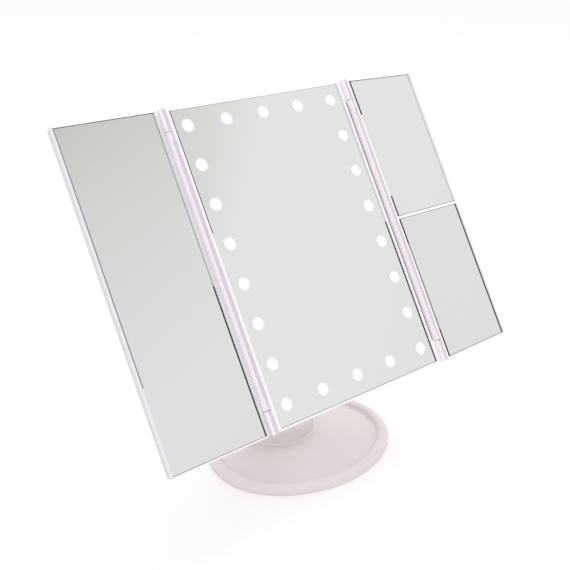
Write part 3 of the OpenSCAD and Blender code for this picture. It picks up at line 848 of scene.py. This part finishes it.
@dataclass
class GlassEdgeShadeLines:
    """Painted shade lines between each pane and its frame's lip, black on some edges and grey on
    others.
    """

    place: PanelPlace
    view_half_w: float = 76.4
    view_half_h: float = 114.4
    centre_front: float = 1.2
    wing_half_h: float = 114.8
    wing_in: float = 89.0
    wing_out: float = 162.8
    wing_front: float = 0.3
    rib_half: float = 1.0
    thin: float = 0.35
    wide: float = 2.0
    # Nearly as high as the lip, so that the lip doesn't hide the bead from the left.
    tall_rise: float = 0.95

    def panes(self) -> list[tuple[str, Body, Matrix, list[Pane]]]:
        """Gives each body's panes, with the edges that carry a bead."""
        black, grey = Tone.BLACK, Tone.GREY
        thin, wide, rise = self.thin, self.wide, self.tall_rise
        centre = Pane(
            -self.view_half_w, self.view_half_w, -self.view_half_h, self.view_half_h,
            self.centre_front,
            [Bead(Edge.LEFT, black, low=0.61, width=0.9, rise=rise),
             Bead(Edge.LEFT, grey, high=0.61, width=0.6), Bead(Edge.RIGHT, black, high=0.5),
             Bead(Edge.BOTTOM, grey, width=thin)],
        )
        left = Pane(
            -self.wing_out, -self.wing_in, -self.wing_half_h, self.wing_half_h, self.wing_front,
            [Bead(Edge.LEFT, grey, low=0.25, width=1.0, rise=rise),
             Bead(Edge.RIGHT, black, high=0.46), Bead(Edge.TOP, grey, width=thin),
             Bead(Edge.BOTTOM, grey, width=thin)],
        )
        upper = Pane(
            self.wing_in, self.wing_out, self.rib_half, self.wing_half_h, self.wing_front,
            [Bead(Edge.LEFT, black, low=0.75, width=wide, rise=rise),
             Bead(Edge.LEFT, grey, low=0.15, high=0.75, width=0.6),
             Bead(Edge.LEFT, black, high=0.15, width=wide, rise=rise),
             Bead(Edge.TOP, grey, width=thin), Bead(Edge.BOTTOM, grey, width=0.6)],
        )
        lower = Pane(
            self.wing_in, self.wing_out, -self.wing_half_h, -self.rib_half, self.wing_front,
            [Bead(Edge.LEFT, black, low=0.82, width=wide, rise=rise),
             Bead(Edge.LEFT, grey, low=0.2, high=0.82, width=wide, rise=rise),
             Bead(Edge.LEFT, black, high=0.2, width=wide, rise=rise), Bead(Edge.RIGHT, black),
             Bead(Edge.TOP, grey, width=thin), Bead(Edge.BOTTOM, grey, width=0.5)],
        )
        return [
            ("centre", Body.HEAD, self.place.head(), [centre]),
            ("left", Body.LEFT_WING, self.place.wing(Side.LEFT), [left]),
            ("right", Body.RIGHT_WING, self.place.wing(Side.RIGHT), [upper, lower]),
        ]

    def build(self, materials: dict[Tone, bpy.types.Material]) -> list[bpy.types.Object]:
        """Makes one mesh of beads for each body and tone.

        Args:
            materials: The material of each tone.

        Returns:
            The pieces, riding on their bodies.
        """
        pieces = []
        for name, body, matrix, panes in self.panes():
            for tone, material in materials.items():
                mesh = bmesh.new()
                for pane in panes:
                    pane.add_beads(mesh, tone)
                piece = finish_mesh(mesh, f"{name}_shade_line_{tone.value}", matrix, material)
                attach(piece, body.value)
                pieces.append(piece)
        return pieces


@dataclass
class HingeGapShades:
    """Painted shade: a dark strip down each gap between the middle panel and a barrel."""

    place: PanelPlace
    panel_half_w: float = 79.1
    width: float = 0.6
    near_y: float = 0.4
    far_y: float = 2.0
    half_len: float = 98.4
    edge_r: float = 0.1

    def build(self, material: bpy.types.Material) -> bpy.types.Object:
        """Makes both strips.

        Args:
            material: The strips' material.

        Returns:
            The piece, riding on the head.
        """
        mesh = bmesh.new()
        size = (self.width, self.far_y - self.near_y, 2 * self.half_len)
        for side in Side:
            x = side.value * (self.panel_half_w + self.width / 2)
            add_bar(mesh, (x, (self.near_y + self.far_y) / 2, 0), size, self.edge_r)
        piece = finish_mesh(mesh, "hinge_gap_shades", self.place.head(), material)
        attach(piece, Body.HEAD.value)
        return piece


@dataclass
class ContactSprings:
    """The four wound springs that press on the battery cells."""

    place: PanelPlace
    pitch: float = 11.5
    bay_mid: float = -53.45
    bay_h: float = 50.1
    plate_t: float = 0.4
    cell_y: float = 14.35
    coil_r: float = 2.7
    wire_r: float = 0.35
    turns: int = 4
    length: float = 3.6
    count: int = 4
    wire_segments: int = 8
    steps_per_turn: int = 24

    def build(self, material: bpy.types.Material) -> bpy.types.Object:
        """Makes the springs and lets them stand for the plain cones.

        Args:
            material: The springs' material.

        Returns:
            The piece, riding on the head.
        """
        mesh = bmesh.new()
        for index in range(self.count):
            up = 1 if index % 2 == 0 else -1
            x = (index - (self.count - 1) / 2) * self.pitch
            foot = self.bay_mid - up * (self.bay_h / 2 - self.plate_t - 2 * self.wire_r)
            made = bmesh.ops.create_circle(
                mesh, cap_ends=False, radius=self.wire_r, segments=self.wire_segments
            )["verts"]
            stand = Matrix.Translation((x + self.coil_r, self.cell_y, foot))
            turn = stand @ Matrix.Rotation(math.radians(90), 4, "X")
            bmesh.ops.transform(mesh, matrix=turn, verts=made)
            edges = list({edge for vert in made for edge in vert.link_edges})
            steps = self.steps_per_turn * self.turns
            swept = bmesh.ops.spin(
                mesh,
                geom=made + edges,
                cent=(x, self.cell_y, foot),
                axis=(0, 0, 1),
                dvec=(0, 0, up * self.length / steps),
                angle=math.tau * self.turns,
                steps=steps,
            )["geom_last"]
            ends = [edges, [g for g in swept if isinstance(g, bmesh.types.BMEdge)]]
            for loop in ends:
                bmesh.ops.contextual_create(mesh, geom=loop)
        piece = finish_mesh(mesh, "wound_springs", self.place.head(), material)
        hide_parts("contact_springs")
        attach(piece, Body.HEAD.value)
        return piece


@dataclass
class TrayFillets:
    """The soft coves where the tray's floor meets its rim and the round collar."""

    base_w: float = 155.0
    base_d: float = 127.0
    rim_w: float = 8.5
    floor_z: float = 3.0
    lift: float = 0.02
    rim_cove: float = 1.4
    collar_cove: float = 2.4
    collar_y: float = 30.0
    collar_r: float = 30.0
    skin: float = 0.25
    cove_steps: int = 6
    least_steps: int = 8
    step_degrees: float = 3.0
    merge: float = 0.01

    @property
    def side_y(self) -> float:
        """Gives the distance of a front or back arc's centre from the middle."""
        return self.base_w - self.base_d

    @property
    def side_r(self) -> float:
        """Gives the radius of the front and back arcs."""
        return self.base_d / 2 + self.side_y

    @property
    def end_x(self) -> float:
        """Gives the distance of an end arc's centre from the middle, on a 3-4-5 triangle."""
        return 3 / 4 * self.side_y

    @property
    def end_r(self) -> float:
        """Gives the radius of the left and right arcs."""
        return self.base_w / 2 - self.end_x

    def cove_verts(
        self, mesh: BMesh, wall: float, cove: float, outward: int
    ) -> list[bmesh.types.BMVert]:
        """Adds a cove's section in the xz plane, as a row of points.

        Args:
            mesh: The mesh that gets the section.
            wall: The distance of the wall from the turning axis.
            cove: The cove's radius.
            outward: 1 for a floor inside the wall, -1 for a floor outside it.

        Returns:
            The section's points, from the floor to the wall.
        """
        verts = []
        for step in range(self.cove_steps + 1):
            angle = math.radians(90 * step / self.cove_steps)
            x = wall - outward * cove * (1 - math.sin(angle))
            z = self.floor_z + self.lift + cove * (1 - math.cos(angle))
            verts.append(mesh.verts.new((x, 0, z)))
        for first, second in zip(verts, verts[1:]):
            mesh.edges.new((first, second))
        return verts

    def spin_section(
        self,
        mesh: BMesh,
        verts: list[bmesh.types.BMVert],
        centre: Point,
        start: float,
        sweep: float,
    ) -> None:
        """Turns a section to its start angle and spins it about a centre.

        Args:
            mesh: The mesh that holds the section.
            verts: The section's points, drawn along x from the turning axis.
            centre: The turning centre.
            start: The first angle, in degrees.
            sweep: How far it turns, in degrees.
        """
        turn = Matrix.Translation(centre) @ Matrix.Rotation(math.radians(start), 4, "Z")
        bmesh.ops.transform(mesh, matrix=turn, verts=verts)
        edges = list({edge for vert in verts for edge in vert.link_edges})
        bmesh.ops.spin(
            mesh,
            geom=verts + edges,
            cent=centre,
            axis=(0, 0, 1),
            angle=math.radians(sweep),
            steps=max(self.least_steps, round(sweep / self.step_degrees)),
            use_merge=sweep == 360,
        )

    def rim_part(self, mesh: BMesh) -> None:
        """Adds the cove inside the rim, in two end arcs and two side arcs.

        Args:
            mesh: The mesh that gets the cove.
        """
        split = math.degrees(math.atan2(self.side_y, self.end_x))
        for side in (1, -1):
            verts = self.cove_verts(mesh, self.end_r - self.rim_w, self.rim_cove, 1)
            start = -split if side > 0 else 180 - split
            self.spin_section(mesh, verts, (side * self.end_x, 0, 0), start, 2 * split)
            verts = self.cove_verts(mesh, self.side_r - self.rim_w, self.rim_cove, 1)
            start = split if side > 0 else 180 + split
            self.spin_section(mesh, verts, (0, -side * self.side_y, 0), start, 180 - 2 * split)

    def collar_part(self, mesh: BMesh) -> None:
        """Adds the cove round the collar's foot.

        Args:
            mesh: The mesh that gets the cove.
        """
        verts = self.cove_verts(mesh, self.collar_r, self.collar_cove, -1)
        self.spin_section(mesh, verts, (0, self.collar_y, 0), 0, 360)

    def build(self, material: bpy.types.Material) -> list[bpy.types.Object]:
        """Makes both coves, riding on the stand.

        Args:
            material: The base's material.

        Returns:
            The two pieces.
        """
        pieces = []
        for name, part in (("tray_cove", self.rim_part), ("collar_cove", self.collar_part)):
            mesh = bmesh.new()
            part(mesh)
            bmesh.ops.remove_doubles(mesh, verts=mesh.verts, dist=self.merge)
            bmesh.ops.solidify(mesh, geom=mesh.faces, thickness=self.skin)
            piece = finish_mesh(mesh, name, Matrix.Identity(4), material)
            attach(piece, Body.STAND.value)
            pieces.append(piece)
        return pieces


@dataclass
class ButtonMark:
    """The raised ring on the power button's cap, a plain shape with no lettering."""

    place: PanelPlace
    x: float = 49.0
    z: float = -80.0
    face_y: float = 16.2
    ring_r: float = 2.6
    wire_r: float = 0.22
    sink: float = 0.4
    wire_segments: int = 10
    steps: int = 48

    def build(self, material: bpy.types.Material) -> bpy.types.Object:
        """Makes the ring, riding on the button.

        Args:
            material: The ring's material.

        Returns:
            The piece.
        """
        mesh = bmesh.new()
        ring_y = self.face_y - self.wire_r * self.sink
        made = bmesh.ops.create_circle(
            mesh, cap_ends=False, radius=self.wire_r, segments=self.wire_segments
        )["verts"]
        bmesh.ops.translate(mesh, vec=(self.x + self.ring_r, 0, 0), verts=made)
        move = Matrix.Translation((0, ring_y, self.z))
        bmesh.ops.transform(mesh, matrix=move, verts=made)
        edges = list({edge for vert in made for edge in vert.link_edges})
        bmesh.ops.spin(
            mesh,
            geom=made + edges,
            cent=(self.x, ring_y, self.z),
            axis=(0, 1, 0),
            angle=math.tau,
            steps=self.steps,
            use_merge=True,
        )
        piece = finish_mesh(mesh, "button_ring", self.place.head(), material)
        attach(piece, Body.BUTTON.value)
        return piece


# ---- Stage ----


@dataclass
class Studio:
    """Pale floor, soft lamps and the camera at the photograph's angle."""

    eye: Point = (-0.39608, -0.47644, 0.41137)
    azimuth: float = 38.64
    elevation: float = 23.61
    lens: float = 56.95
    sensor: float = 36.0
    ambient: float = 1.0
    ambient_tint: str = "#FBFBFD"
    key_power: float = 9.0
    fill_power: float = 3.5
    floor_size: float = 12.0
    # The floor's tone for bounced light, then the two tones whose sum the camera sees.
    floor_bounce: str = "#EDECEB"
    floor_shaded: str = "#AFC2CB"
    floor_glow: str = "#C6B2A5"

    def add_camera(self) -> None:
        """Makes the camera and sets it as the scene's."""
        data = bpy.data.cameras.new("photo_camera")
        data.lens = self.lens
        data.sensor_width = self.sensor
        data.clip_start = 0.01
        camera = bpy.data.objects.new("photo_camera", data)
        az, el = math.radians(self.azimuth), math.radians(self.elevation)
        look = Vector((math.sin(az) * math.cos(el), math.cos(az) * math.cos(el), -math.sin(el)))
        camera.location = self.eye
        camera.rotation_euler = look.to_track_quat("-Z", "Y").to_euler()
        bpy.context.scene.collection.objects.link(camera)
        bpy.context.scene.camera = camera

    def seen_share(self, owner: bpy.types.Material | bpy.types.World) -> bpy.types.NodeSocket:
        """Adds the test for camera, glossy and transmission rays.

        Args:
            owner: The material or world that gets the nodes.

        Returns:
            A socket that is 1 for those rays and 0 for the rest.
        """
        path = add_node(owner, "ShaderNodeLightPath")
        both = add_node(
            owner,
            "ShaderNodeMath",
            {0: path.outputs["Is Camera Ray"], 1: path.outputs["Is Glossy Ray"]},
            operation="ADD",
        )
        every = add_node(
            owner,
            "ShaderNodeMath",
            {0: both.outputs[0], 1: path.outputs["Is Transmission Ray"]},
            operation="ADD",
            use_clamp=True,
        )
        return every.outputs[0]

    def add_world(self) -> None:
        """Makes the white surroundings and the soft ambient light."""
        world = bpy.data.worlds.new("studio_world")
        world.use_nodes = True
        world.node_tree.nodes.clear()
        light = add_node(
            world,
            "ShaderNodeBackground",
            {"Color": linear(self.ambient_tint), "Strength": self.ambient},
        )
        white = add_node(world, "ShaderNodeBackground", {"Color": (1, 1, 1, 1), "Strength": 1.0})
        mixed = add_node(
            world,
            "ShaderNodeMixShader",
            {0: self.seen_share(world), 1: light.outputs[0], 2: white.outputs[0]},
        )
        add_node(world, "ShaderNodeOutputWorld", {"Surface": mixed.outputs[0]})
        bpy.context.scene.world = world

    def add_floor(self) -> None:
        """Makes the floor, white where it is lit and faintly warm in the object's shadow."""
        mesh = bmesh.new()
        bmesh.ops.create_grid(mesh, x_segments=1, y_segments=1, size=self.floor_size / 2)
        data = bpy.data.meshes.new("floor")
        mesh.to_mesh(data)
        mesh.free()
        material = empty_material("studio_floor")
        plain = add_node(material, "ShaderNodeBsdfDiffuse", {"Color": linear(self.floor_bounce)})
        shaded = add_node(material, "ShaderNodeBsdfDiffuse", {"Color": linear(self.floor_shaded)})
        glow = add_node(
            material, "ShaderNodeEmission", {"Color": linear(self.floor_glow), "Strength": 1.0}
        )
        seen = add_node(material, "ShaderNodeAddShader", {0: shaded.outputs[0], 1: glow.outputs[0]})
        mixed = add_node(
            material,
            "ShaderNodeMixShader",
            {0: self.seen_share(material), 1: plain.outputs[0], 2: seen.outputs[0]},
        )
        add_node(material, "ShaderNodeOutputMaterial", {"Surface": mixed.outputs[0]})
        data.materials.append(material)
        floor = bpy.data.objects.new("floor", data)
        bpy.context.scene.collection.objects.link(floor)

    def add_lamp(self, name: str, place: Point, size: float, power: float, colour: str) -> None:
        """Adds a square soft lamp that faces the middle of the object.

        Args:
            name: The lamp's name.
            place: Where it stands, in metres.
            size: Its side, in metres.
            power: Its power, in watts.
            colour: Its colour.
        """
        data = bpy.data.lights.new(name, "AREA")
        data.size = size
        data.energy = power
        data.color = linear(colour)[:3]
        lamp = bpy.data.objects.new(name, data)
        lamp.location = place
        aim = Vector((0, 0, 0.12)) - Vector(place)
        lamp.rotation_euler = aim.to_track_quat("-Z", "Y").to_euler()
        lamp.visible_glossy = False
        bpy.context.scene.collection.objects.link(lamp)

    def build(self) -> None:
        """Makes the whole studio."""
        bpy.context.scene.view_settings.view_transform = "Standard"
        self.add_camera()
        self.add_world()
        self.add_floor()
        self.add_lamp("key_lamp", (0.9, 0.2, 1.5), 1.0, self.key_power, "#FFFDFB")
        self.add_lamp("fill_lamp", (-1.1, -1.0, 1.2), 1.4, self.fill_power, "#F7F6FF")


# ---- Finishes for the frame's own nodes ----

# Gloss ABS: bright white with sharp soft-box highlights. The hinge barrels have painted light and
# shade, a pink lit side and a lilac shaded side. The left wing's inner lip and both wings' outer
# lips and walls are painted a little grey as shade.
FRAME_WHITE = MouldedPlastic(
    "gloss_abs_frame", "#F6F4F6", "#F2EFF3", roughness=0.24, bump=0.02,
    barrel_painted_lit="#F0E8ED", barrel_painted_shade="#D0C8CF", outer_lip_painted_shade="#E0E0E0", wall_and_inner_lip_painted_shade="#D6D6D7",
)
# Satin ABS with a warm pigment: a faint pink that stays even over the tray, and a soft sheen.
BASE_PINK = MouldedPlastic("satin_abs_base", "#E7DFDD", "#E2DAD9", roughness=0.34, bump=0.03)
# Satin ABS, nearly white: the same sheen as the base with less pink in it.
STEM_WHITE = MouldedPlastic("satin_abs_stem", "#ECE8E8", "#E5DFE1", roughness=0.34)
# Spark-textured ABS: its grain scatters the highlight, so the large back looks quiet.
BACK_WHITE = MouldedPlastic("textured_abs_back", "#F1F0F1", "#E9E7EA", roughness=0.42, bump=0.18)
# Unpolished ABS: dull and a little grey, as an underside is.
UNDER_GREY = MouldedPlastic("matt_abs_cover", "#D9D6D4", "#CFCBC9", roughness=0.55, bump=0.2)
# Natural ABS with no pigment: slightly yellow-grey and dull.
INNER_WHITE = MouldedPlastic("natural_abs_inner", "#E9E9E7", "#DFDFDC", roughness=0.5)
# Satin ABS, greyer than the back so that the button stands out.
BUTTON_GREY = MouldedPlastic("satin_abs_button", "#E4E3E4", "#DBDADC", roughness=0.3)
# Glass-filled nylon: near black, with a dull bloom from its fibres.
SWITCH_BLACK = MouldedPlastic("nylon_switch", "#3A3A3C", "#2E2E30", roughness=0.5)
# Solder mask over fibreglass: deep green, with the weave as a faint mottle.
BOARD_GREEN = MouldedPlastic("solder_mask_green", "#2F6B46", "#285C3C", roughness=0.35)
# White solder mask: bright, to throw the light forward.
BOARD_WHITE = MouldedPlastic("solder_mask_white", "#E9EAE4", "#DCDDD6", roughness=0.35)
# Phosphor in silicone resin: pale yellow when unlit.
LED_RESIN = MouldedPlastic("led_silicone_resin", "#FFF6D8", "#F6E9BC", roughness=0.3)
# Shrunk vinyl sleeve: plain blue with a tight gloss.
CELL_SLEEVE = MouldedPlastic("shrink_sleeve_blue", "#3F5E8C", "#36527C", roughness=0.25)
# Soft vinyl insulation: red, with a waxy half gloss.
WIRE_RED = MouldedPlastic("vinyl_lead_red", "#B03A34", "#9C322D", roughness=0.45)
# Moulded rubber: matt, with round dimples that darken in their middles.
PAD_RUBBER = SoftSheet("moulded_rubber_pad", "#C9C7C5", "#B4B2B0", cell_mm=1.6)
# Painted shade: a nearly black line for the shadow and dark reflection between glass and lip, with
# a slight wet sheen. Its cells are drawn coarse.
SHADE_LINE_BLACK = SoftSheet("painted_shade_line_black", "#2B2A2E", "#17161A", cell_mm=0.9, roughness=0.4)
# Painted shade: a mid-grey line for the shadow between glass and lip.
SHADE_LINE_GREY = SoftSheet("painted_shade_line_grey", "#8E8C90", "#7E7C81", cell_mm=0.9, roughness=0.4)
# Painted shade: a dull purple-grey strip for the shadow deep in the hinge's gap.
HINGE_GAP_SHADE = SoftSheet("painted_hinge_gap_shade", "#6C6273", "#5C5364", cell_mm=0.9)
# Nitrile rubber: mid grey and matt.
WASHER_GREY = SoftSheet("nitrile_washer", "#5A5A5C", "#454547")
# Closed-cell foam: pale and very matt, with its cells showing as small dents.
FOAM_WHITE = SoftSheet("closed_cell_foam", "#DDDDDA", "#C6C6C2", cell_mm=0.7, roughness=0.9)
# Zinc plating: light grey and fairly bright, with streaks from the barrel finish.
PLATED = WorkedMetal("zinc_plated_steel", "#C4C6C8", "#A6A9AC")
# Turned steel: darker, with streaks of gloss from its tool marks.
TURNED = WorkedMetal("turned_steel", "#AEB2B5", "#8F9396", roughness=0.22)
# Nickel plating: pale, slightly cool metal with a tight gloss.
NICKEL = WorkedMetal("nickel_spring_steel", "#C9CCCE", "#ADB1B4", roughness=0.2)
# Rolled steel: dark grey with a dull mill surface.
SHEET_STEEL = WorkedMetal("rolled_steel_sheet", "#8A8D90", "#74777A", roughness=0.4)
# Opal acrylic, lit: pure white right across.
WINDOW_GLOW = LitDiffuser("opal_acrylic_lit", "#FFFFFF", "#F6FAFF", strength=1.15)
# Painted glow round each window: a cool halo that fades to the mirror in three steps.
PAINTED_HALO_GLOWS = (
    LitDiffuser("painted_halo_inner", "#E8EBEE", "#E4E8EC", strength=0.08),
    LitDiffuser("painted_halo_middle", "#E2E5E7", "#DFE3E5", strength=0.03),
    LitDiffuser("painted_halo_outer", "#DCDFDF", "#DADDDD", strength=0.01),
)

# The painted reflection's tone from each pane's upper left, at shares of the run to its lower
# right.
LEFT_TONES = (
    (0.0, "#C6C6C1"), (0.12, "#CDCDC8"), (0.3, "#D4D5D1"), (0.5, "#DADAD8"), (0.8, "#E0E1DE"),
    (1.0, "#DEDEDC"),
)
CENTRE_TONES = (
    (0.0, "#D1D2CE"), (0.14, "#D7D9D5"), (0.3, "#E2E4E1"), (0.7, "#E3E5E2"), (1.0, "#DFE1DF"),
)
UPPER_TONES = ((0.0, "#E2E5E2"), (1.0, "#E1E3E0"))
LOWER_TONES = ((0.0, "#DFDFDD"), (1.0, "#DEDEDC"))
# Each pane's label, its node, its tones and the share of the run that goes sideways.
GLASS_RUNS = (
    ("centre", "centre_mirror", CENTRE_TONES, 0.5),
    ("left", "left_mirror", LEFT_TONES, 0.12),
    ("upper", "upper_magnifier", UPPER_TONES, 0.2),
    ("lower", "lower_magnifier", LOWER_TONES, 0.2),
)

NODE_FINISHES: dict[Finish, tuple[str, ...]] = {
    BASE_PINK: ("base_tray",),
    UNDER_GREY: ("base_cover",),
    SHEET_STEEL: ("ballast_plate",),
    PAD_RUBBER: ("non_slip_pad",),
    PLATED: (
        "base_screws", "stem_foot_screws", "stem_cover_screws", "back_screws", "bracket_screws",
    ),
    STEM_WHITE: ("stem_front", "stem_back", "hinge_bracket"),
    WASHER_GREY: ("friction_washers",),
    FRAME_WHITE: ("centre_frame", "left_frame", "right_frame"),
    INNER_WHITE: ("light_baffle", "backing_plate"),
    BOARD_WHITE: ("led_strips",),
    LED_RESIN: ("led_chips",),
    BACK_WHITE: ("centre_back", "left_back", "right_back", "battery_door"),
    CELL_SLEEVE: ("battery_cells",),
    NICKEL: ("contact_plates", "usb_socket"),
    BOARD_GREEN: ("control_board",),
    SWITCH_BLACK: ("tact_switch",),
    WIRE_RED: ("lead_wires",),
    TURNED: ("tilt_axle", "axle_nut", "wing_pins"),
    FOAM_WHITE: ("left_pad", "right_pad"),
    BUTTON_GREY: ("power_button",),
}


def glass_finish(
    name: str, node: str, tones: tuple[tuple[float, str], ...], across: float
) -> SilveredGlass:
    """Gives a pane's finish, its painted reflection running from its upper left to its lower right.

    Args:
        name: The material's name.
        node: The pane's node, whose box sets the run.
        tones: The stops of the run.
        across: The share of the run that goes sideways; the rest goes down.

    Returns:
        The finish.
    """
    low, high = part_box(node)
    middle = (low.y + high.y) / 2
    slope = (across / (high.x - low.x), 0.0, (across - 1) / (high.z - low.z))
    return SilveredGlass(name, tones, (low.x, middle, high.z), slope)


def dress_node(node: bpy.types.Object, material: bpy.types.Material) -> None:
    """Gives one material to a node of the frame.

    Args:
        node: The node's object.
        material: Its material.
    """
    if not node.material_slots:
        node.data.materials.append(material)
    for slot in node.material_slots:
        slot.material = material


def dress_frame(nodes: dict[str, bpy.types.Object]) -> dict[str, bpy.types.Material]:
    """Dresses every node of the frame.

    Args:
        nodes: The frame's nodes by name.

    Returns:
        The materials made, by name.
    """
    made: dict[str, bpy.types.Material] = {}
    for finish, names in NODE_FINISHES.items():
        material = finish.build()
        made[finish.name] = material
        for name in names:
            dress_node(nodes[name], material)
            LOG.info("dressed %s with %s", name, finish.name)
    for label, name, tones, across in GLASS_RUNS:
        finish = glass_finish(f"silvered_glass_{label}", name, tones, across)
        dress_node(nodes[name], finish.build())
    return made


def main() -> None:
    """Dresses the frame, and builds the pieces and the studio."""
    logging.basicConfig(level=logging.INFO, format="%(name)s: %(message)s")
    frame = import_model()
    Studio().build()
    place = PanelPlace.from_frame(frame["joints"])
    made = dress_frame(frame["nodes"])

    # The windows are lit from behind; the rings round them are painted glow.
    lights = LightRing(place).build(WINDOW_GLOW.build(), [glow.build() for glow in PAINTED_HALO_GLOWS])
    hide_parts("light_windows")
    # Painted shade lines along the glass edges, black and grey.
    shade_line_materials = {Tone.BLACK: SHADE_LINE_BLACK.build(), Tone.GREY: SHADE_LINE_GREY.build()}
    builders: list[tuple[str, Callable[[], Any]]] = [
        ("glass edge shade lines", lambda: GlassEdgeShadeLines(place).build(shade_line_materials)),
        ("hinge gap shades", lambda: HingeGapShades(place).build(HINGE_GAP_SHADE.build())),
        ("contact springs", lambda: ContactSprings(place).build(made[NICKEL.name])),
        ("tray cove", lambda: TrayFillets().build(made[BASE_PINK.name])),
        ("button ring", lambda: ButtonMark(place).build(made[BUTTON_GREY.name])),
    ]
    for label, build in builders:
        build()
        LOG.info("built %s", label)


if __name__ == "__main__":
    main()
